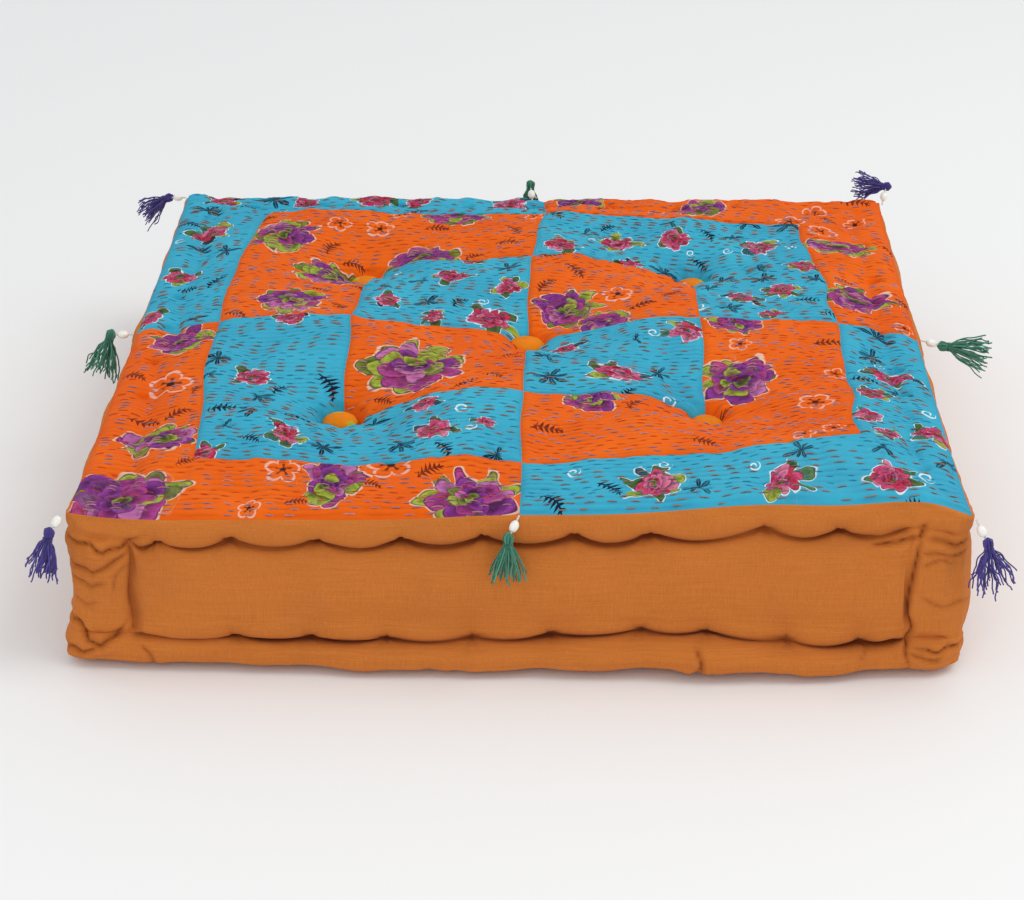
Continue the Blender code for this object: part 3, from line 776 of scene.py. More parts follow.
PURPLE, MAGENTA, PINK = (0.30, 0.045, 0.33), (0.50, 0.060, 0.30), (0.66, 0.20, 0.50)
LIME, OLIVE, LEAF = (0.42, 0.52, 0.050), (0.20, 0.28, 0.030), (0.08, 0.20, 0.045)
CRIMSON, ROSE, BLUSH = (0.68, 0.030, 0.095), (0.80, 0.075, 0.21), (0.86, 0.22, 0.38)
INK_BROWN, INK_NAVY = (0.055, 0.012, 0.006, 1), (0.004, 0.012, 0.035, 1)


def orange_motifs(dye, under, u, v, seed, kind):
    leaves = [(0.0, LIME), (0.35, OLIVE), (0.6, MAGENTA), (0.8, LIME)]
    petals = [
        (0.0, PURPLE), (0.24, MAGENTA), (0.42, PINK), (0.56, PURPLE), (0.70, LIME), (0.84, MAGENTA),
        (0.93, OLIVE),
    ]
    heart = [(0.0, LIME), (0.3, PURPLE), (0.7, OLIVE)]
    rings = [
        (0.92, 9, 0.40, 0.7, 0.3), (0.78, 8, 0.30, 0.5, 0), (0.57, 7, 0.32, 0.5, 0),
        (0.38, 5, 0.35, 0.5, 0), (0.19, 3, 0.3, 0.6, 0),
    ]
    bloom = petal_rings(
        dye, under, u, v, seed, rings,
        [leaves, petals, petals, petals, heart],
        (0.035, 0.008, 0.03, 1), (0.85, 0.55, 0.42, 1), 0.045,
    )
    flower = outline_flower(dye, under, u, v, seed, (0.90, 0.47, 0.36, 1), INK_BROWN)
    sprig = fern(dye, under, u, v, seed, (0.19, 0.024, 0.006, 1), 1.5)
    made = only(dye, kind, 1, under, bloom)
    made = only(dye, kind, 2, made, flower)
    return only(dye, kind, 3, made, sprig)


def turquoise_motifs(dye, under, u, v, seed, kind):
    leaves = [(0.0, LEAF), (0.45, LIME), (0.7, (0.02, 0.05, 0.06)), (0.85, LEAF)]
    petals = [(0.0, ROSE), (0.4, CRIMSON), (0.7, BLUSH)]
    heart = [(0.0, CRIMSON), (0.5, OLIVE)]
    rings = [
        (1.0, 7, 0.62, 0.9, 0.45), (0.62, 9, 0.26, 0.5, 0), (0.44, 7, 0.30, 0.5, 0),
        (0.27, 5, 0.3, 0.5, 0), (0.12, 3, 0.3, 0.6, 0),
    ]
    rose = petal_rings(
        dye, under, u, v, seed, rings,
        [leaves, petals, petals, petals, heart],
        (0.03, 0.006, 0.03, 1), (0.72, 0.86, 0.88, 1), 0.050,
    )
    sprig = fern(dye, under, u, v, seed, INK_NAVY, 1.2)
    ring = curl(dye, under, u, v, (0.80, 0.92, 0.94, 1))
    spray = leaf_spray(dye, under, u, v, seed, INK_NAVY)
    made = only(dye, kind, 1, under, rose)
    made = only(dye, kind, 2, made, ring)
    made = only(dye, kind, 4, made, spray)
    return only(dye, kind, 3, made, sprig)


ORANGE, DEEP_ORANGE = (0.93, 0.150, 0.004, 1), (0.86, 0.120, 0.003, 1)
TURQUOISE, DEEP_TURQUOISE = (0.048, 0.470, 0.660, 1), (0.040, 0.395, 0.590, 1)
orange_cotton = printed_cotton("orange_print", ORANGE, DEEP_ORANGE, orange_motifs)
turquoise_cotton = printed_cotton("turquoise_print", TURQUOISE, DEEP_TURQUOISE, turquoise_motifs)

# The larger motifs, as they fall on the cut patches: (across, back, half width) in centimetres.
ORANGE_BLOOMS = [
    (-21, 18, 3.4), (-16, 12, 3.2), (-9, 14, 3.7), (-7, 23, 2.6), (-18, 3, 3.2), (-8, -8, 4.3),
    (3, 4, 3.0), (6, 1, 2.6), (15, 27, 3.4), (26, 18, 3.0), (26, 6, 3.4), (16, -10, 3.6),
    (16, -1, 2.6), (5, -14, 2.8), (-26, -20, 3.0), (-27, -28, 4.2), (-26, -3, 3.2), (-13, -26, 3.3),
    (-3, -28, 3.6), (3, 28, 2.6),
]
ORANGE_OUTLINES = [
    (-13, 20, 1.6), (7, 6, 1.6), (12, -1, 1.5), (21, -16, 1.6), (-26, -11, 2.0), (-17, -25, 1.8),
    (-9, -24, 2.0), (23, 24, 1.5),
]
TURQUOISE_ROSES = [
    (-27, 19, 2.8), (-28, 10, 2.6), (-6, 9, 2.6), (-3, 2, 3.0), (-18, -1, 2.4), (-20, -10, 2.6),
    (-7, -15, 2.2), (-6, -20, 2.6), (-17, -20, 2.6), (7, 18, 2.8), (12, 19, 2.8), (20, 18, 3.0),
    (2, 15, 2.4), (3, -4, 2.2), (12, -3, 2.6), (7, -10, 3.0), (27, -9, 2.8), (25, -14, 2.4),
    (29, -21, 2.4), (3, -23, 2.6), (9, -27, 2.8), (18, -28, 2.8), (25, -28, 2.8), (-20, 28, 2.2),
    (-14, 28, 2.6), (-3, 28, 2.4), (20, 7, 2.4), (-13, -4, 2.4), (-27, 28, 2.2), (-11, 4, 2.0),
]


def ring_of(x, y):
    """Which ring of patches a place is in: 0 the middle square, 1 round it, 2 along the edges."""
    reach = max(abs(x), abs(y))
    return 0 if reach < INNER else 1 if reach < MIDDLE else 2


chance = np.random.default_rng(17)
motifs = []  # (x, y, half width, kind, turn, seed, whether on turquoise)
LARGER = [(1, ORANGE_BLOOMS, False), (2, ORANGE_OUTLINES, False), (1, TURQUOISE_ROSES, True)]
for kind, spots, turquoise in LARGER:
    for x, y, size in spots:
        size *= 0.78 if turquoise else 1.0
        turn, seed = chance.uniform(-0.5, 0.5), chance.random()
        motifs.append((x / 100, y / 100, size / 100, kind, turn, seed, turquoise))
for x, y, size, _, _, _, turquoise in motifs[:]:
    if size <= 0.019:
        continue
    for kind in (4, 3, 2) if turquoise else (3, 3):
        turn, gap = chance.uniform(0, 2 * math.pi), chance.uniform(1.0, 1.25)
        small = chance.uniform(0.010, 0.014) * (0.50 if kind == 2 else 1.15 if kind == 4 else 0.85)
        reach = (size + small) * 0.8 * gap
        x_off, y_off = x + reach * math.cos(turn), y + reach * math.sin(turn)
        tilt, seed = chance.uniform(-1.2, 1.2), chance.random()
        others = [m for m in motifs if m[6] == turquoise]
        if all(math.hypot(m[0] - x_off, m[1] - y_off) > (m[2] + small) * 0.72 for m in others):
            motifs.append((x_off, y_off, small, kind, tilt, seed, turquoise))
for x in np.arange(-0.285, 0.29, 0.030):
    for y in np.arange(-0.285, 0.29, 0.030):
        x_off, y_off = x + chance.uniform(-0.009, 0.009), y + chance.uniform(-0.009, 0.009)
        turquoise = (ring_of(x_off, y_off) + (x_off * y_off > 0)) % 2 == 0
        size, turn = chance.uniform(0.010, 0.016), chance.uniform(-1.2, 1.2)
        seed, draw = chance.random(), chance.random()
        others = [m for m in motifs if m[6] == turquoise]
        clear = all(math.hypot(m[0] - x_off, m[1] - y_off) > m[2] + size * 0.8 for m in others)
        size *= (1.15 if draw > 0.8 or draw < 0.3 else 0.5 if draw > 0.45 else 0.9) if turquoise else 0.85
        if turquoise:
            kind = 4 if draw < 0.3 else 3 if draw < 0.45 else 2 if draw < 0.58 else 1 if draw > 0.8 else 0
        else:
            kind = 3 if draw < 0.2 else 2 if draw < 0.34 else 0
        if clear:
            motifs.append((x_off, y_off, size, kind, turn, seed, turquoise))
motifs = np.array(motifs, float)


def mark_valley_shade(piece, quads):
    """Marks how deep each point of a patch lies between the ripples and in the seam grooves, for the painted
    shade there; its turned-in rim is marked deepest.
    """
    used = np.unique(quads)
    values = np.full(len(piece.data.vertices), 1.0)
    values[: len(used)] = valley.ravel()[used]
    mark(piece.data, "valley", values)


def show_motifs(piece, quads):
    """Gives each face of a patch the place, seed and kind of the motif that is nearest for its size."""
    middle_x, middle_y = flat_x.ravel()[quads].mean(1), flat_y.ravel()[quads].mean(1)
    ring = ring_of(middle_x[0], middle_y[0])
    turquoise = (ring + (middle_x[0] * middle_y[0] > 0)) % 2 == 0
    here = np.array([
        m[6] == turquoise and ring_of(m[0], m[1]) == ring
        and m[0] * middle_x[0] >= 0 and m[1] * middle_y[0] >= 0
        for m in motifs
    ])
    own = motifs[here]
    gap = np.hypot(middle_x[:, None] - own[:, 0], middle_y[:, None] - own[:, 1]) / own[:, 2]
    nearest = own[gap.argmin(1)]
    kind = np.where(gap.min(1) < 1.5, nearest[:, 3], 0)
    turn = nearest[:, 4][:, None]
    dx = (flat_x.ravel()[quads] - nearest[:, 0][:, None]) / nearest[:, 2][:, None]
    dy = (flat_y.ravel()[quads] - nearest[:, 1][:, None]) / nearest[:, 2][:, None]
    local = np.zeros((len(piece.data.polygons), 4, 3))
    local[: len(quads), :, 0] = dx * np.cos(turn) + dy * np.sin(turn)
    local[: len(quads), :, 1] = dy * np.cos(turn) - dx * np.sin(turn)
    local[: len(quads), :, 2] = nearest[:, 5][:, None]
    kinds = np.zeros(len(local))
    kinds[: len(quads)] = kind
    mark(piece.data, "motif", local, "CORNER")
    mark(piece.data, "motif_kind", kinds, "FACE")


cells = quads_of(numbered(flat_x))
cell_x, cell_y = flat_x.ravel()[cells].mean(1), flat_y.ravel()[cells].mean(1)
cell_ring = np.maximum(np.abs(cell_x), np.abs(cell_y))
RINGS = [("inner", 0, INNER), ("middle", INNER, MIDDLE), ("outer", MIDDLE, HALF)]
CORNERS = [("back_left", -1, 1), ("back_right", 1, 1), ("front_left", -1, -1), ("front_right", 1, -1)]
for ring_number, (ring_name, low, high) in enumerate(RINGS):
    for corner, a, b in CORNERS:
        quads = cells[(cell_ring > low) & (cell_ring < high) & (cell_x * a > 0) & (cell_y * b > 0)]
        name = f"patch_{ring_name}_{corner}"
        patch = cloth_piece(
            name + "_cotton", surface.reshape(-1, 3), quads, top_normals.reshape(-1, 3), under=TURN_IN
        )
        show_motifs(patch, quads)
        mark_valley_shade(patch, quads)
        turquoise = (ring_number + (a * b > 0)) % 2 == 0
        patch.data.materials.append(turquoise_cotton if turquoise else orange_cotton)
        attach(patch, "cushion")
        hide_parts(name)

# The stitches themselves: short arches of cotton thread, dusky mauve or brown in some rows, and
# in the rest the colour of the cloth, darker as painted shade. They lie in the dents that they pull.
THREAD = 0.00038  # radius of the quilting thread


class Pattern(Nodes):
    """A Geometry Nodes tree with named sizes, for what repeats."""

    def __init__(self, name, **sizes):
        self.tree = bpy.data.node_groups.new(name, "GeometryNodeTree")
        face = self.tree.interface
        face.new_socket("Geometry", in_out="INPUT", socket_type="NodeSocketGeometry")
        face.new_socket("Geometry", in_out="OUTPUT", socket_type="NodeSocketGeometry")
        self.sizes = dict(sizes, Finish=None)
        for label, value in self.sizes.items():
            kind = "Material" if value is None else "Int" if isinstance(value, int) else "Float"
            face.new_socket(label.replace("_", " "), in_out="INPUT", socket_type="NodeSocket" + kind)
        self.given = self.tree.nodes.new("NodeGroupInput").outputs

    def size(self, label):
        return self.given[label]

    def end(self, shape):
        shape = self.node("GeometryNodeRealizeInstances", {0: shape})
        shape = self.node("GeometryNodeSetShadeSmooth", {0: shape})
        shape = self.node("GeometryNodeSetMaterial", {"Geometry": shape, "Material": self.size("Finish")})
        self.feed(self.tree.nodes.new("NodeGroupOutput").inputs[0], shape)

    def make(self, name, source, **changes):
        """Runs the tree on a mesh and gives the result as a plain mesh object."""
        carrier = bpy.data.objects.new(name + "_carrier", source)
        bpy.context.scene.collection.objects.link(carrier)
        modifier = carrier.modifiers.new("pattern", "NODES")
        modifier.node_group = self.tree
        values = dict(self.sizes, **changes)
        for item in self.tree.interface.items_tree:
            key = item.name.replace(" ", "_")
            if item.in_out == "INPUT" and key in values:
                modifier[item.identifier] = values[key]
        graph = bpy.context.evaluated_depsgraph_get()
        made = bpy.data.meshes.new_from_object(carrier.evaluated_get(graph))
        made.name = name
        bpy.data.objects.remove(carrier)
        piece = bpy.data.objects.new(name, made)
        bpy.context.scene.collection.objects.link(piece)
        return piece


def thread_turns(along, normal, tilt):
    """Euler turns that lay a stitch along a direction on the cloth, turned by tilt."""
    along = along - normal * np.sum(along * normal, axis=1, keepdims=True)
    along /= np.linalg.norm(along, axis=1, keepdims=True)
    beside_it = np.cross(normal, along)
    along = along * np.cos(tilt)[:, None] + beside_it * np.sin(tilt)[:, None]
    beside_it = np.cross(normal, along)
    return np.stack([
        np.arctan2(beside_it[:, 2], normal[:, 2]),
        -np.arcsin(np.clip(along[:, 2], -1, 1)),
        np.arctan2(along[:, 1], along[:, 0]),
    ], 1)


running_stitch = Pattern("running_stitch", Stitch_length=STITCH, Thread_radius=THREAD, Rise=0.0008)
full_length = running_stitch.size("Stitch length")
start, end = [
    running_stitch.node("ShaderNodeCombineXYZ", {0: running_stitch.times(full_length, half), 2: -0.0003})
    for half in (-0.5, 0.5)
]
peak = running_stitch.node("ShaderNodeCombineXYZ", {2: running_stitch.size("Rise")})
arch = running_stitch.node(
    "GeometryNodeCurveQuadraticBezier", {"Resolution": 4, "Start": start, "Middle": peak, "End": end}
)
section = running_stitch.node(
    "GeometryNodeCurvePrimitiveCircle", {"Resolution": 4, "Radius": running_stitch.size("Thread radius")}
)
strand = running_stitch.node(
    "GeometryNodeCurveToMesh", {"Curve": arch, "Profile Curve": section, "Fill Caps": True}
)
turns = running_stitch.node("GeometryNodeInputNamedAttribute", {"Name": "turns"}, data_type="FLOAT_VECTOR")
turns = running_stitch.node("FunctionNodeEulerToRotation", {0: turns})
longer = running_stitch.node("GeometryNodeInputNamedAttribute", {"Name": "longer"}, data_type="FLOAT")
thicker = running_stitch.node("GeometryNodeInputNamedAttribute", {"Name": "thicker"}, data_type="FLOAT")
running_stitch.end(running_stitch.node(
    "GeometryNodeInstanceOnPoints",
    {
        "Points": running_stitch.size("Geometry"),
        "Instance": strand,
        "Rotation": turns,
        "Scale": running_stitch.node("ShaderNodeCombineXYZ", {0: longer, 1: thicker, 2: thicker}),
    },
))


def stitch_points(name, places, turns, longer, thicker, shades):
    """The points that carry one stitch each."""
    mesh = bpy.data.meshes.new(name)
    mesh.from_pydata(places.tolist(), [], [])
    mark(mesh, "turns", turns)
    mark(mesh, "longer", longer)
    mark(mesh, "thicker", thicker)
    mark(mesh, "shade", shades)
    return mesh


def twisted_thread(name):
    """Cotton sewing thread that takes its colour from the shade of each stitch."""
    dye = Dye(name)
    shade = dye.node("Attribute", result=1, attribute_name="shade")
    twist = dye.noise(dye.own_place((900, 900, 900)), 2.0, 2.0)
    colour = dye.blend(dye.between(twist, 0.3, 0.75), dye.blend(0.35, shade, (0, 0, 0, 1)), shade)
    return dye.finish(colour, 0.75, twist, 0.0002, sheen=0.2)


stitches = np.array(stitches, float)
spots = np.stack([stitches[:, 0], stitches[:, 1]], 1)


def lie_on_top(x, y):
    """The finished surface and its normal at any place of the flat patchwork."""
    a = np.interp(x, across, np.arange(len(across)))
    b = np.interp(y, back, np.arange(len(back)))
    return between(surface, a, b), between(top_normals, a, b)


places, lift = lie_on_top(spots[:, 0], spots[:, 1])
ahead, _ = lie_on_top(spots[:, 0] + 0.002, spots[:, 1])
behind, _ = lie_on_top(spots[:, 0] - 0.002, spots[:, 1])
reach = np.maximum(np.abs(spots[:, 0]), np.abs(spots[:, 1]))
level = (reach > INNER).astype(int) + (reach > MIDDLE)
on_blue = (level + (spots[:, 0] * spots[:, 1] > 0)) % 2 == 0
# Rows that show no thread get the cloth's colour made darker: painted shade of the stitch dents.
shades = np.where(
    stitches[:, 4:5] > 0,
    np.where(on_blue[:, None], (0.29, 0.195, 0.16), (0.50, 0.235, 0.245)),
    np.where(on_blue[:, None], (0.028, 0.27, 0.42), (0.70, 0.075, 0.004)),
)
shades = shades * chance.uniform(0.8, 1.2, (len(shades), 1))
thickness = np.where(stitches[:, 4] > 0, 1.45, 0.7)
lie = thread_turns(ahead - behind, lift, stitches[:, 3])
starts = stitch_points("kantha_points", places + lift * 0.0002, lie, stitches[:, 2], thickness, shades)
kantha = running_stitch.make("kantha_stitches", starts, Finish=twisted_thread("quilting_thread"))
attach(kantha, "cushion")

# ---------------------------------------------------------------------------------------------
# The sides: four bands of ochre plain-weave cotton, joined at the corners. Stitches through the
# filling gather each band into a roll along its top, a roll along its bottom and one down each
# corner. The cloth creases where a stitch pulls it, and painted shade darkens it most in the grooves.
# ---------------------------------------------------------------------------------------------
# Points along a side are closer together in its corner rolls, and rows are closer at the two grooves.
half_steps = np.concatenate([np.arange(0, 0.060, 0.0012), np.arange(0.060, HALF, 0.0022)])
places = np.unique(np.round(np.concatenate([half_steps, 2 * HALF - half_steps[1:]]), 6))
per_side = len(places)
rows_down = [np.linspace(0, ROWS, 86)]
for groove_row in (TOP_GROOVE, BOTTOM_GROOVE):
    rows_down.append(groove_row + np.array([-0.36, -0.20, -0.10, 0, 0.10, 0.20, 0.36]))
rows_down = np.unique(np.round(np.concatenate(rows_down), 4))
rows_down = rows_down[np.concatenate([[True], np.diff(rows_down) > 0.05])]
row_at, place_at = np.meshgrid(rows_down, np.tile(places, 4), indexing="ij")
which = np.repeat(np.arange(4), per_side)[None] + 0 * row_at.astype(int)
drop = row_at * SIDE_CLOTH / ROWS
sides = between(side_net, row_at, (which + place_at / (2 * HALF)) * NET, ring=True)
side_normals = outward(sides, ring=True)
along = place_at - HALF
total = which * 2 * HALF + place_at
top_line, bottom_line = TOP_GROOVE * SIDE_CLOTH / ROWS, BOTTOM_GROOVE * SIDE_CLOTH / ROWS
corner_share = np.clip((np.abs(along) - (HALF - ROLL_CORNER) + 0.003) / 0.006, 0, 1)
push = 0.0009 * uneven(total, drop, 0.080, 51) + 0.00022 * uneven(total, drop, 0.024, 52)
push += 0.00006 * uneven(total, drop, 0.008, 53)
below_top, above_bottom = drop - top_line, bottom_line - drop
into_panel = (HALF - ROLL_CORNER) - np.abs(along)
between_rolls = np.clip(below_top / 0.004, 0, 1) * np.clip(above_bottom / 0.004, 0, 1)
upright = between_rolls * np.where((which == 0) & (along > 0), 0, 0.6)
tight_top = np.clip(0.85 + 0.25 * uneven(total, which, 0.11, 54), 0.5, 1) * (1 - corner_share)
tight_bottom = np.clip(0.72 + 0.35 * uneven(total, which, 0.13, 59), 0.3, 1) * (1 - corner_share)
for distance, tight in ((below_top, tight_top), (above_bottom, tight_bottom), (into_panel, upright)):
    push -= tight * (0.0026 * crease(distance, 0.0008) + 0.0006 * crease(distance, 0.0030))
# The rolls are fullest next to their grooves, and the panel between them is puffed a little.
TOP_ROLL, BOTTOM_ROLL, PANEL_PUFF, CORNER_ROLL = 0.0022, 0.0036, 0.0030, 0.0014
up_roll = np.clip(drop / top_line, 0, 1)
down_roll = np.clip((drop - bottom_line) / (SIDE_CLOTH - bottom_line), 0, 1)
push += TOP_ROLL * up_roll**1.2 * (1 - up_roll) ** 0.5 * (1 - 0.3 * corner_share)
push += BOTTOM_ROLL * down_roll**0.5 * (1 - down_roll) ** 0.8
panel_edge = np.clip(np.minimum.reduce([below_top, above_bottom, into_panel]), 0, 1)
push += PANEL_PUFF * (1 - np.exp(-panel_edge / 0.0024))
push += CORNER_ROLL * np.clip(-into_panel / 0.008, 0, 1) ** 0.6 * between_rolls
near_pulls = 0
for side in range(4):
    here = which == side
    for line, pulls in ((top_line, top_pulls[side]), (bottom_line, bottom_pulls[side])):
        for number, pull in enumerate(pulls):
            away = np.hypot(along - pull, drop - line)
            fan = np.arctan2(drop - line, along - pull)
            rays = np.cos(5 * fan + 1.7 * number + side) * np.clip(away / 0.004, 0, 1)
            pucker = (0.0010 * rays - 0.0006) * np.exp(-away / 0.009)
            push += here * (pucker - 0.0014 * np.exp(-away / 0.0028))
            near_pulls = near_pulls + here * np.exp(-away / 0.006)
            toward = np.clip((line - drop) * (1 if line == bottom_line else -1) / 0.004, 0, 1)
            fading = bell(along - pull, 0.012) * crease(drop - line, 0.022)
            push -= here * 0.0007 * toward * fading
# Folds where the gathered cloth has nowhere to go: corner, depth, and points in mm as distance past the
# corner and height. Corners count from the front left, and the front lies past the first, before the second.
FOLDS = [
    (0, 3.2, [(52, 101), (38, 93), (23, 87), (6, 92), (-12, 93), (-32, 99)]),
    (0, 2.2, [(44, 94), (34, 84), (14, 72), (2, 77), (-16, 74)]),
    (0, 1.7, [(26, 66), (12, 62), (0, 67), (-12, 66)]),
    (0, 1.2, [(18, 50), (6, 48), (-8, 52)]),
    (0, 3.2, [(39, 39), (30, 26), (21, 17), (12, 22), (3, 32), (-8, 36), (-32, 30)]),
    (0, 2.4, [(23, 18), (10, 12), (0, 13), (-14, 10)]),
    (0, 1.6, [(45, 21), (52, 12), (55, 3)]),
    (0, 1.2, [(39, 78), (30, 70), (27, 58)]),
    (1, 3.2, [(-70, 97), (-50, 100), (-34, 105), (-29, 116)]),
    (1, 3.4, [(-33, 110), (-34, 98), (-36, 84), (-39, 60), (-40, 47), (-36, 38), (-39, 22), (-35, 3)]),
    (1, 2.4, [(-33, 105), (-18, 102), (-6, 97), (10, 100)]),
    (1, 1.8, [(-34, 94), (-18, 93), (-4, 90), (8, 92)]),
    (1, 1.5, [(-34, 84), (-18, 88), (-6, 84)]),
    (1, 1.2, [(-34, 62), (-16, 53), (-2, 55), (12, 50)]),
    (1, 2.8, [(-38, 23), (-18, 20), (-4, 22), (12, 19), (32, 30)]),
    (1, 1.9, [(-38, 22), (-26, 14), (-12, 16)]),
    (1, 2.4, [(-181, 26), (-176, 13), (-185, 1)]),
    (1, 1.3, [(-64, 26), (-70, 14)]),
]
for corner, mirror in ((2, 1), (3, -1)):
    for source, depth, points in [fold for fold in FOLDS if fold[0] == 0]:
        shift = chance.uniform(-3, 3)
        moved = [(mirror * (past + shift), height + shift * 0.4) for past, height in points]
        FOLDS.append((corner, depth, moved))
fold_shade = 0
for corner, depth, points in FOLDS:
    past = (total - corner * 2 * HALF + 4 * HALF) % (8 * HALF) - 4 * HALF
    level = sides[..., 2] + 0.0007 * uneven(total, drop, 0.018, 55)
    nearest, taper, walked = np.full(past.shape, 1.0), np.zeros(past.shape), 0.0
    points = np.array(points) / 1000
    lengths = np.hypot(*np.diff(points, axis=0).T)
    for start, end, length in zip(points[:-1], points[1:], lengths):
        run, climb = end - start
        share = np.clip(((past - start[0]) * run + (level - start[1]) * climb) / length**2, 0, 1)
        away = np.hypot(past - start[0] - share * run, level - start[1] - share * climb)
        place = (walked + share * length) / lengths.sum()
        taper = np.where(away < nearest, np.clip(5 * np.minimum(place, 1 - place), 0.15, 1), taper)
        nearest = np.minimum(nearest, away)
        walked += length
    hollow = crease(nearest, 0.0012) - 0.42 * bell(nearest - 0.0048, 0.0028)
    push -= depth / 1000 * taper * hollow
    fold_shade = np.maximum(fold_shade, taper * min(1, depth / 2.6) * crease(nearest, 0.0012))
# Short slack folds down the bottom roll.
slack = np.sin(2 * math.pi * (total + 0.25 * drop) / 0.021 + 2 * uneven(total, drop, 0.09, 57))
below = np.clip((drop - bottom_line) / 0.006, 0, 1) * (1 - corner_share)
push += 0.0005 * slack * below * np.clip(uneven(total, drop, 0.12, 58), 0, 1)
push *= np.clip(drop / 0.003, 0, 1)
push += 0.0008 * np.clip(drop / 0.0008, 0, 1) * np.exp(-drop / 0.004)
sides = sides + side_normals * push[..., None]
sides[..., 2] = np.maximum(sides[..., 2], 0.0006)
side_normals = outward(sides, ring=True)
# Painted shade, dark rust-brown: along the grooves, wider on the side in sight, in the folds and round the
# pulls.
shadow = 0
for distance, tight in ((below_top, tight_top), (-above_bottom, tight_bottom), (into_panel, upright)):
    width = np.where(distance > 0, 0.0019, 0.0009)  # the lower side of a groove is the one in sight
    shadow = np.maximum(shadow, tight * (0.85 * crease(distance, width) + 0.24 * crease(distance, 0.0050)))
shadow = np.clip(np.maximum(shadow, 0.85 * fold_shade) + 0.40 * near_pulls, 0, 1)


def ochre_weave():
    """Plain-weave cotton dyed ochre, with thicker threads here and there, and painted shade, dark rust-brown,
    in the creases.
    """
    dye = Dye("ochre_cotton")
    place = dye.own_place()
    groove_shade = dye.node("Attribute", result=2, attribute_name="groove_shade")
    level = dye.noise(dye.own_place((30, 30, 2600)), 1.0, 2.0)
    upright = dye.noise(dye.own_place((2300, 2300, 40)), 1.0, 2.0)
    patchy = dye.noise(place, 14.0, 3.0)
    threads = dye.times(dye.plus(level, upright), 0.5)
    ochres = [(0.32, (0.50, 0.145, 0.026)), (0.5, (0.575, 0.174, 0.031)), (0.68, (0.64, 0.205, 0.042))]
    colour = dye.steps(threads, ochres)
    colour = dye.blend(dye.times(dye.between(patchy, 0.55, 0.8), 0.35), colour, (0.40, 0.13, 0.035, 1))
    fleck = dye.between(dye.noise(dye.own_place((420, 420, 1300)), 1.0, 0.0), 0.76, 0.80)
    colour = dye.blend(dye.times(fleck, 0.12), colour, (0.80, 0.45, 0.20, 1))
    # Painted shade in the grooves, folds and round the pulls.
    colour = dye.blend(dye.times(groove_shade, 0.88), colour, (0.15, 0.020, 0.003, 1))
    cloth_height = dye.plus(dye.times(weave(dye, place, 0.00055), 0.5), threads)
    return dye.finish(colour, 0.9, cloth_height, 0.00024, sheen=0.04, bump=0.55)


ochre = ochre_weave()
band_grid = round_once(numbered(row_at))
for side, name in enumerate(("front", "right", "back", "left")):
    quads = quads_of(band_grid[:, side * per_side : (side + 1) * per_side + 1])
    band = cloth_piece(
        f"side_band_{name}_cotton", sides.reshape(-1, 3), quads, side_normals.reshape(-1, 3), under=0.0020
    )
    used = np.unique(quads)
    values = np.zeros(len(band.data.vertices))
    values[: len(used)] = shadow.ravel()[used]
    # The turned-in rim gets painted shade too.
    values[len(used) :] = 0.7
    mark(band.data, "groove_shade", values)
    band.data.materials.append(ochre)
    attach(band, "cushion")
    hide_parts(f"side_band_{name}")

# ---------------------------------------------------------------------------------------------
# The bottom: one ochre cotton panel, sewn to the bands all round, flat where it lies on the
# floor and drawn up a little at the five tufts.
# ---------------------------------------------------------------------------------------------
line = np.linspace(-1, 1, 121)
panel_a, panel_b = np.meshgrid(line, line, indexing="ij")
foot = sides[-1].reshape(4, per_side, 3)  # the bands' lower edges


def foot_at(share, side):
    """Where the lower edge of a band is, from -1 at its start to 1 at its end."""
    edge = np.concatenate([foot[side], foot[(side + 1) % 4][:1]])
    place = (share + 1) * HALF
    return np.stack([np.interp(place, [*places, 2 * HALF], edge[:, i]) for i in range(3)], -1)


front_edge, right_edge = foot_at(line, 0), foot_at(line, 1)
back_edge, left_edge = foot_at(-line, 2), foot_at(-line, 3)
share_a, share_b = ((panel_a + 1) / 2)[..., None], ((panel_b + 1) / 2)[..., None]
bottom = (
    (1 - share_b) * front_edge[:, None] + share_b * back_edge[:, None]
    + (1 - share_a) * left_edge[None] + share_a * right_edge[None]
    - (1 - share_a) * (1 - share_b) * front_edge[0] - share_a * (1 - share_b) * front_edge[-1]
    - (1 - share_a) * share_b * back_edge[0] - share_a * share_b * back_edge[-1]
)
edge_gap = HALF - np.maximum(np.abs(bottom[..., 0]), np.abs(bottom[..., 1]))
rest_z = 0.0007 + 0.0005 * (1 + uneven(bottom[..., 0], bottom[..., 1], 0.09, 61)) / 2
for tuft_x, tuft_y in TUFTS:
    away = np.hypot(bottom[..., 0] - tuft_x, bottom[..., 1] - tuft_y)
    rest_z = rest_z + 0.0075 * bell(away, 0.020) + 0.0012 * np.exp(-away / 0.05)
blend_in = np.clip((edge_gap - 0.023) / 0.016, 0, 1) ** 0.7
bottom[..., 2] = bottom[..., 2] * (1 - blend_in) + rest_z * blend_in
quads = quads_of(numbered(bottom).T)  # turned over, so that they face down
panel = cloth_piece(
    "bottom_panel_cotton", bottom.reshape(-1, 3), quads, -outward(bottom).reshape(-1, 3), under=0.0015
)
panel.data.materials.append(ochre)
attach(panel, "cushion")
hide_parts("bottom_panel")

# ---------------------------------------------------------------------------------------------
# Inside: the cloth that the patches are quilted on, and the cotton wadding that fills the cover.
# Neither shows from outside.
# ---------------------------------------------------------------------------------------------


def plain_fibre(name, light, dark, scale):
    """Undyed cotton fibre. A larger scale is finer."""
    dye = Dye(name)
    fibres = dye.noise(dye.own_place((scale, scale * 0.3, scale)), 1.0, 5.0, 0.6)
    return dye.finish(dye.steps(fibres, [(0.3, dark), (0.7, light)]), 0.95, fibres, 0.0006, sheen=0.3)


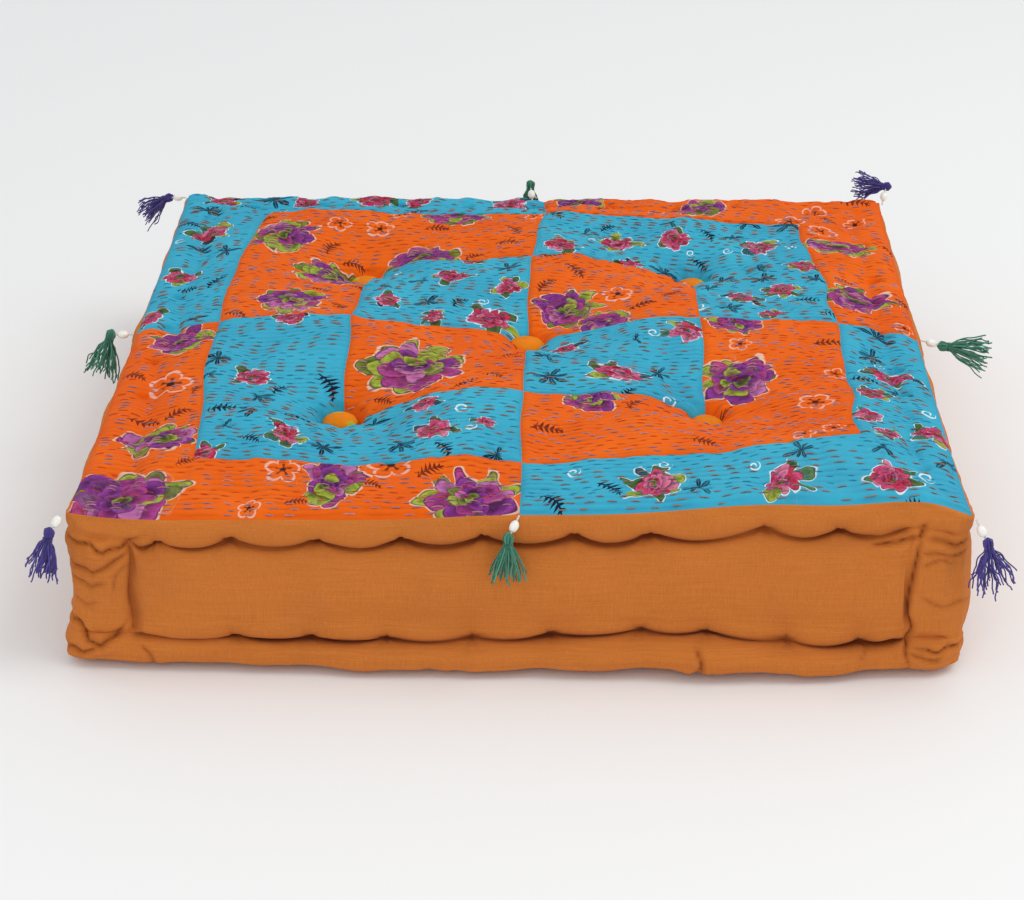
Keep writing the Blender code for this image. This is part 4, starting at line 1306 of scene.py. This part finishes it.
line = np.linspace(-HALF + 0.002, HALF - 0.002, 151)
back_x, back_y = np.meshgrid(line, line, indexing="ij")
backing_points, _ = lie_on_top(back_x, back_y)
backing_points = backing_points - outward(backing_points) * 0.0032
backing = cloth_piece("quilt_backing_cotton", backing_points.reshape(-1, 3), quads_of(numbered(back_x)))
backing.data.materials.append(plain_fibre("backing_cotton", (0.72, 0.66, 0.55), (0.55, 0.49, 0.40), 900))
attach(backing, "cushion")
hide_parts("quilt_backing")

FILL_INSET = 0.019  # the filling stays behind the deepest stitches of the sides
FILL_POINTS = 60  # squares along each side of the filling
line = np.linspace(-1, 1, FILL_POINTS + 1)
fill_a, fill_b = np.meshgrid(line, line, indexing="ij")
fill_top = on_top(fill_a * (HALF - FILL_INSET), fill_b * (HALF - FILL_INSET))
fill_top[..., 2] -= 0.0075
rim = np.maximum(np.abs(fill_a), np.abs(fill_b))
fill_bottom = fill_top.copy()
fill_bottom[..., 2] = 0.006 + 0.012 * np.clip((rim - 0.93) / 0.07, 0, 1) ** 2
for tuft_x, tuft_y in TUFTS:
    away = np.hypot(fill_bottom[..., 0] - tuft_x, fill_bottom[..., 1] - tuft_y)
    fill_bottom[..., 2] += 0.008 * bell(away, 0.022)


def rim_of(part):
    """The edge of a grid of points, once round."""
    return np.concatenate([part[:-1, 0], part[-1, :-1], part[:0:-1, -1], part[0, :0:-1]])


over, under = rim_of(fill_top), rim_of(fill_bottom)
rows = []
for share in np.linspace(0, 1, 11):
    row = over * (1 - share) + under * share
    row[:, :2] *= 1 + 0.016 * math.sin(math.pi * share)
    rows.append(row)
parts = [fill_top, fill_bottom[:, ::-1], np.array(rows)]
points, faces, count = [], [], 0
for part, ring in zip(parts, (False, False, True)):
    grid = numbered(part) + count
    count += grid.size
    points.append(part.reshape(-1, 3))
    faces.append(quads_of(round_once(grid) if ring else grid))
points, faces = np.concatenate(points), np.concatenate(faces)
joined_points, index = np.unique(np.round(points, 6), axis=0, return_inverse=True)
filling = cloth_piece("cotton_filling", joined_points, index.reshape(-1)[faces])
smooth = filling.modifiers.new("soften", "SUBSURF")
smooth.levels = smooth.render_levels = 1
filling.data.materials.append(plain_fibre("cotton_wadding", (0.80, 0.78, 0.72), (0.62, 0.60, 0.55), 300))
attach(filling, "cushion")
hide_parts("cotton_fill")

# ---------------------------------------------------------------------------------------------
# The five tufts: a waxed cord through the whole cushion, knotted to a cloth-covered dome on top
# and a small flat one below. The covering is gathered under the button, so it shows soft pleats.
# ---------------------------------------------------------------------------------------------


def lathe_points(profile, around, pleats=0.0, count=11, seed=0):
    """Rings of points from a profile of (radius, height), with soft pleats towards the rim."""
    turn = np.linspace(0, 2 * math.pi, around, endpoint=False)
    rings = []
    widest = max(radius for radius, _ in profile)
    for radius, height in profile:
        share = radius / widest
        wave = 1 + pleats * share**3 * np.sin(count * turn + seed)
        wave = wave + pleats * 0.6 * share**2 * np.sin(3 * turn + 2.3 * seed)
        level = height * (1 + 0.5 * pleats * np.sin(2 * turn + seed))
        rings.append(np.stack([radius * wave * np.cos(turn), radius * wave * np.sin(turn), level], -1))
    return np.array(rings)


def lathe_piece(name, rings, place, frame_axes=None):
    """A closed turned shape whose first and last rings are tips."""
    body = rings[1:-1]
    points = np.concatenate([[rings[0].mean(0)], body.reshape(-1, 3), [rings[-1].mean(0)]])
    if frame_axes is not None:
        points = points @ np.array(frame_axes)
    grid = round_once(1 + numbered(body))
    first, last = grid[0].tolist(), grid[-1].tolist()
    faces = quads_of(grid.T).tolist()
    faces += [(0, after, at) for at, after in zip(first, first[1:])]
    faces += [(len(points) - 1, at, after) for at, after in zip(last, last[1:])]
    return new_piece(name, (points + np.array(place)).tolist(), faces)


def button_cotton(name, ground, bit):
    """Orange cotton from the plain part of the print, with a stray bit of a leaf on it."""
    dye = Dye(name)
    place = dye.own_place()
    spots = dye.between(dye.noise(place, 55.0, 1.0), 0.60, 0.63)
    deeper = (*(part * 0.86 for part in ground[:3]), 1)
    colour = dye.blend(dye.between(dye.noise(place, 60.0, 2.0), 0.3, 0.7), ground, deeper)
    colour = dye.blend(dye.times(spots, 0.85), colour, bit)
    height = dye.plus(weave(dye, place, 0.00034), dye.noise(place, 900.0, 2.0))
    return dye.finish(colour, 0.88, height, 0.0002, sheen=0.03, bump=0.6)


top_cotton = button_cotton("button_orange", (0.97, 0.260, 0.006, 1), (0.55, 0.50, 0.03, 1))
low_cotton = button_cotton("button_ochre", (0.56, 0.17, 0.035, 1), (0.48, 0.13, 0.025, 1))
twine = plain_fibre("twine", (0.72, 0.66, 0.54), (0.45, 0.40, 0.31), 1800)
DOME = [
    (0, 0.0), (0.60, 0.0), (0.90, 0.02), (1.0, 0.14), (1.02, 0.28), (0.97, 0.46), (0.84, 0.68),
    (0.62, 0.87), (0.34, 0.97), (0.12, 1.0), (0, 1.0),
]
FLAT_DOME = [
    (0, 0.0), (0.3, 0.01), (0.65, 0.12), (0.9, 0.38), (1.0, 0.66), (0.97, 0.88), (0.8, 1.0), (0.4, 1.0),
    (0, 1.0),
]
for number, label in enumerate(("centre", "front_left", "back_left", "front_right", "back_right")):
    low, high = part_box(f"tuft_button_top_{label}")
    radius, rise = (high.x - low.x) / 2, high.z - low.z
    sunk, lift = (1.0, MIDDLE_LIFT) if label == "centre" else (0.90, 0)
    rings = lathe_points([(r * radius * sunk, h * rise * 1.05) for r, h in DOME], 44, 0.035, 11, 1.3 * number)
    middle = ((low.x + high.x) / 2, (low.y + high.y) / 2, low.z + lift)
    button = lathe_piece(f"tuft_button_top_{label}_cotton", rings, middle)
    button.data.materials.append(top_cotton)
    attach(button, "cushion")
    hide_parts(f"tuft_button_top_{label}")
    low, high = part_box(f"tuft_button_bottom_{label}")
    radius, rise = (high.x - low.x) / 2, high.z - low.z
    rings = lathe_points([(r * radius * 0.98, h * rise) for r, h in FLAT_DOME], 36, 0.02, 9, 0.7 * number)
    middle = ((low.x + high.x) / 2, (low.y + high.y) / 2, low.z)
    button = lathe_piece(f"tuft_button_bottom_{label}_cotton", rings, middle)
    button.data.materials.append(low_cotton)
    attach(button, "cushion")
    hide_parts(f"tuft_button_bottom_{label}")
    cord = frame["nodes"][f"tuft_cord_{label}"]
    cord.data.materials.clear()
    cord.data.materials.append(twine)

# ---------------------------------------------------------------------------------------------
# The tassels: purple ones at the corners and green ones half-way along the sides. Each hangs on
# a short cotton thread through an oval bead. A tassel is a bundle of thick yarn, folded over the
# thread and bound below the fold, so it has a round head, a neck and a loose skirt.
# ---------------------------------------------------------------------------------------------
TASSEL_LENGTH = 0.038
HEAD_TOP = 0.0045  # from the joint, inside the head, up to the fold of the yarns
HEAD_HEIGHT = 0.006  # of the part that isn't cut shorter
tassel = Pattern(
    "tassel_yarns", Yarns=46, Head_radius=0.0040, Neck_radius=0.0028, Skirt_radius=0.0125,
    Length=TASSEL_LENGTH, Yarn_radius=0.00052, Wave=0.0022, Seed=1,
)
strand_line = tassel.node("GeometryNodeCurvePrimitiveLine", {"Start": (0, 0, 0), "End": (0, 0, -1)})
strand_line = tassel.node("GeometryNodeResampleCurve", {"Curve": strand_line, "Count": 15})
bundle = tassel.node("GeometryNodePoints", {"Count": tassel.size("Yarns")})
bundle = tassel.node("GeometryNodeInstanceOnPoints", {"Points": bundle, "Instance": strand_line})


def drawn(pattern, low, high, offset):
    """A random number for each yarn."""
    seed = pattern.plus(pattern.size("Seed"), float(offset))
    return pattern.node("FunctionNodeRandomValue", {2: low, 3: high, "Seed": seed}, 1, data_type="FLOAT")


DRAWN = [("turn", 0.0, 2 * math.pi), ("layer", 0.25, 1.0), ("longer", 0.80, 1.06), ("shade", 0.0, 1.0)]
for offset, (label, low, high) in enumerate(DRAWN):
    bundle = tassel.node(
        "GeometryNodeStoreNamedAttribute",
        {"Geometry": bundle, "Name": label, "Value": drawn(tassel, low, high, 11 * offset + 3)},
        data_type="FLOAT", domain="INSTANCE",
    )
bundle = tassel.node("GeometryNodeRealizeInstances", {0: bundle})
own = {
    label: tassel.node("GeometryNodeInputNamedAttribute", {"Name": label}, data_type="FLOAT")
    for label in ("turn", "layer", "longer")
}
down = tassel.node("GeometryNodeSplineParameter")


def shaped(points):
    """A curve from 0 to 1 along a yarn."""
    made = tassel.node("ShaderNodeFloatCurve", {"Value": down})
    track = made.node.mapping.curves[0]
    track.points[0].location, track.points[1].location = points[0], points[-1]
    for place in points[1:-1]:
        track.points.new(*place)
    made.node.mapping.update()
    return made


head_part = shaped([(0, 0.15), (0.03, 0.75), (0.09, 1.0), (0.16, 0.75), (0.21, 0.0), (1, 0.0)])
neck_part = shaped([(0, 0.0), (0.13, 0.0), (0.19, 1.0), (0.26, 1.0), (0.4, 0.75), (1, 0.0)])
skirt_part = shaped([(0, 0.0), (0.24, 0.0), (0.45, 0.36), (0.75, 0.72), (1, 1.0)])
head_reach = tassel.times(head_part, tassel.size("Head radius"))
reach = tassel.plus(head_reach, tassel.times(neck_part, tassel.size("Neck radius")))
outer = tassel.times(skirt_part, tassel.size("Skirt radius"))
reach = tassel.times(tassel.plus(reach, outer), own["layer"])
wave_at = tassel.node(
    "ShaderNodeCombineXYZ",
    {0: tassel.times(own["turn"], 9.0), 1: tassel.times(own["layer"], 23.0), 2: tassel.times(down, 2.6)},
)
wave = tassel.node("ShaderNodeTexNoise", {"Vector": wave_at, "Scale": 1.0, "Detail": 1.0}, 1)
wave = tassel.node("ShaderNodeVectorMath", {0: wave, 1: (0.5, 0.5, 0.5)}, operation="SUBTRACT")
wave_reach = tassel.times(tassel.times(tassel.size("Wave"), 5.0), skirt_part)
wave = tassel.node("ShaderNodeVectorMath", {0: wave, "Scale": wave_reach}, operation="SCALE")
place = tassel.node(
    "ShaderNodeCombineXYZ",
    {
        0: tassel.times(reach, tassel.sum("COSINE", own["turn"])),
        1: tassel.times(reach, tassel.sum("SINE", own["turn"])),
        2: tassel.times(tassel.times(down, tassel.size("Length")), tassel.times(own["longer"], -1.0)),
    },
)
place = tassel.node("ShaderNodeVectorMath", {0: place, 1: wave}, operation="ADD")
bundle = tassel.node("GeometryNodeSetPosition", {"Geometry": bundle, "Position": place})
section = tassel.node(
    "GeometryNodeCurvePrimitiveCircle", {"Resolution": 5, "Radius": tassel.size("Yarn radius")}
)
tassel.end(tassel.node(
    "GeometryNodeCurveToMesh", {"Curve": bundle, "Profile Curve": section, "Fill Caps": True}
))


def yarn(name, light, dark):
    """Glossy twisted yarn, a little lighter on some strands."""
    dye = Dye(name)
    shade = dye.node("Attribute", result=2, attribute_name="shade")
    ply = dye.noise(dye.own_place((1500, 1500, 1500)), 1.0, 2.0)
    share = dye.plus(dye.times(shade, 0.5), dye.times(ply, 0.6))
    between_them = tuple((a + b) / 2 for a, b in zip(light, dark))
    colour = dye.steps(share, [(0.15, dark), (0.5, between_them), (0.85, light)])
    return dye.finish(colour, 0.62, ply, 0.0003, sheen=0.3)


def tube_piece(name, path, radius, sides=8):
    """A round tube along a path, closed at both ends. The radius may change along it."""
    path = np.array(path, float)
    radius = np.broadcast_to(radius, len(path))
    heading = np.gradient(path, axis=0)
    heading /= np.linalg.norm(heading, axis=1, keepdims=True)
    start = np.cross(heading[0], (0.3, 0.5, 0.81))
    rings = []
    for point, way, size in zip(path, heading, radius):
        start = start - way * start.dot(way)
        start /= np.linalg.norm(start)
        other = np.cross(way, start)
        turn = np.linspace(0, 2 * math.pi, sides, endpoint=False)[:, None]
        rings.append(point + size * (np.cos(turn) * start + np.sin(turn) * other))
    first, last = np.repeat(path[:1], sides, 0)[None], np.repeat(path[-1:], sides, 0)[None]
    return lathe_piece(name, np.concatenate([first, np.array(rings), last]), (0, 0, 0))


def joined(name, pieces):
    """One mesh object from several."""
    points, faces, count = [], [], 0
    for piece in pieces:
        points += [tuple(vertex.co) for vertex in piece.data.vertices]
        faces += [tuple(count + index for index in polygon.vertices) for polygon in piece.data.polygons]
        count = len(points)
        bpy.data.objects.remove(piece)
    return new_piece(name, points, faces)


def axes_along(way):
    """Three unit axes as rows, the last against way."""
    way = np.array(way) / np.linalg.norm(way)
    one = np.cross(way, (0, 0, 1) if abs(way[2]) < 0.9 else (1, 0, 0))
    one /= np.linalg.norm(one)
    return np.array([one, np.cross(-way, one), -way])


purple_yarn = yarn("purple_yarn", (0.088, 0.064, 0.33), (0.022, 0.014, 0.105))
green_yarn = yarn("green_yarn", (0.075, 0.31, 0.205), (0.014, 0.085, 0.055))
white_thread = plain_fibre("tassel_thread", (0.80, 0.77, 0.70), (0.60, 0.57, 0.50), 1500)
bead_dye = Dye("bead")
bead_dye.shader.inputs["Coat Weight"].default_value = 0.4
bead_cloud = bead_dye.noise(bead_dye.own_place(), 350.0, 2.0)
bead_colour = bead_dye.steps(bead_cloud, [(0.3, (0.78, 0.76, 0.70)), (0.7, (0.88, 0.87, 0.82))])
bead_paint = bead_dye.finish(bead_colour, 0.28, bead_cloud, 0.00005, gloss=0.5)
joints = {joint["name"]: np.array(joint["pos_m"], float) for joint in frame["joints"]}
BINDING_RADIUS, BINDING_TURNS = 0.0031, 5  # of the yarn wound round a tassel's neck
BINDING_TOP, BINDING_HEIGHT = 0.0030, 0.0030  # how far below the joint it starts, and how far it goes
BINDING_YARN = 0.00045  # radius
PLY_OFF, PLY = 0.00036, 0.00042  # how far a thread's plies lie from its middle, and their radius
PLY_TURN = 0.00288  # length of thread in which its plies go round each other once
BEAD_RADIUS, BEAD_HALF = 0.0031, 0.0044
# Each tassel: its place, how wide the skirt spreads, how far it sags, how much its yarns curl, and the
# share of the full length that they are cut to.
TASSELS = [
    ("front_left", 0.0135, 0.000, 0.0020, 0.93), ("front_middle", 0.0155, 0.000, 0.0018, 0.86),
    ("front_right", 0.0195, 0.000, 0.0026, 0.88), ("right_middle", 0.0170, 0.004, 0.0022, 1.0),
    ("back_right", 0.0150, 0.003, 0.0026, 0.80), ("back_middle", 0.0110, 0.000, 0.0020, 1.0),
    ("back_left", 0.0145, 0.006, 0.0024, 0.74), ("left_middle", 0.0165, 0.002, 0.0030, 0.94),
]
for number, (label, spread, sag, wave_size, cut_length) in enumerate(TASSELS):
    anchor, head = joints["swing_" + label], joints["sway_" + label]
    solid = frame["nodes"]["tassel_" + label].data
    far_points = np.array([vertex.co for vertex in solid.vertices])
    distance = np.linalg.norm(far_points - head, axis=1)
    tip = far_points[distance > distance.max() - 0.004].mean(0)
    way = (tip - head) / np.linalg.norm(tip - head)
    axes = axes_along(way)
    paint = purple_yarn if number % 2 == 0 else green_yarn
    yarns = tassel.make(
        "yarns", bpy.data.meshes.new("yarn_start"),
        Skirt_radius=spread, Wave=wave_size, Seed=5 + 3 * number, Finish=paint,
    )
    points = np.zeros(len(yarns.data.vertices) * 3, np.float32)
    yarns.data.vertices.foreach_get("co", points)
    points = points.reshape(-1, 3).astype(float)
    depth = np.clip(-points[:, 2] / TASSEL_LENGTH, 0, 1.1)
    shorter = -HEAD_HEIGHT + (points[:, 2] + HEAD_HEIGHT) * cut_length
    points[:, 2] = np.where(points[:, 2] < -HEAD_HEIGHT, shorter, points[:, 2])
    world = head + (points + (0, 0, HEAD_TOP)) @ axes
    world[:, 2] -= sag * depth**2
    yarns.data.vertices.foreach_set("co", world.ravel())
    yarns.name = f"tassel_{label}_yarns"
    yarns.data.materials.clear()
    yarns.data.materials.append(paint)
    # The binding round the neck, of the same yarn.
    turns = np.linspace(0, BINDING_TURNS * 2 * math.pi, 110)
    level = -BINDING_TOP - turns / turns[-1] * BINDING_HEIGHT
    wound = np.stack([BINDING_RADIUS * np.cos(turns), BINDING_RADIUS * np.sin(turns), level], 1)
    binding = tube_piece(f"tassel_{label}_binding", head + wound @ axes, BINDING_YARN, 6)
    binding.data.materials.append(paint)
    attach(yarns, "tassel_" + label)
    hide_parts("tassel_" + label)
    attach(binding, "tassel_" + label)
    # The thread is two plies twisted together, from inside the seam to inside the tassel's head.
    run = head - anchor
    straight = np.linalg.norm(run)
    thread_axes = axes_along(run)
    plies = []
    for ply in (0, 1):
        share = np.linspace(-0.12, 1.12, 60)
        turn = share * straight / PLY_TURN * 2 * math.pi + ply * math.pi
        line = np.stack([PLY_OFF * np.cos(turn), PLY_OFF * np.sin(turn), -share * straight], 1)
        plies.append(tube_piece("ply", anchor + line @ thread_axes, PLY, 6))
    thread = joined(f"tassel_thread_{label}_twist", plies)
    thread.data.materials.append(white_thread)
    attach(thread, "thread_" + label)
    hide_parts("tassel_thread_" + label)
    solid = frame["nodes"]["tassel_bead_" + label].data
    middle = np.mean([vertex.co for vertex in solid.vertices], axis=0)
    turns = np.linspace(0.30, math.pi - 0.30, 15)
    oval = [(0, 0.62), *((max(0.30, math.sin(turn)), math.cos(turn)) for turn in turns), (0, -0.62)]
    rings = lathe_points([(r * BEAD_RADIUS, -h * BEAD_HALF) for r, h in oval], 24)
    bead = lathe_piece(f"tassel_bead_{label}_oval", rings, middle, thread_axes)
    bead.data.materials.append(bead_paint)
    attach(bead, "thread_" + label)
    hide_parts("tassel_bead_" + label)

# ---------------------------------------------------------------------------------------------
# The bounds of every shown piece but the floor.
# ---------------------------------------------------------------------------------------------
low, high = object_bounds()
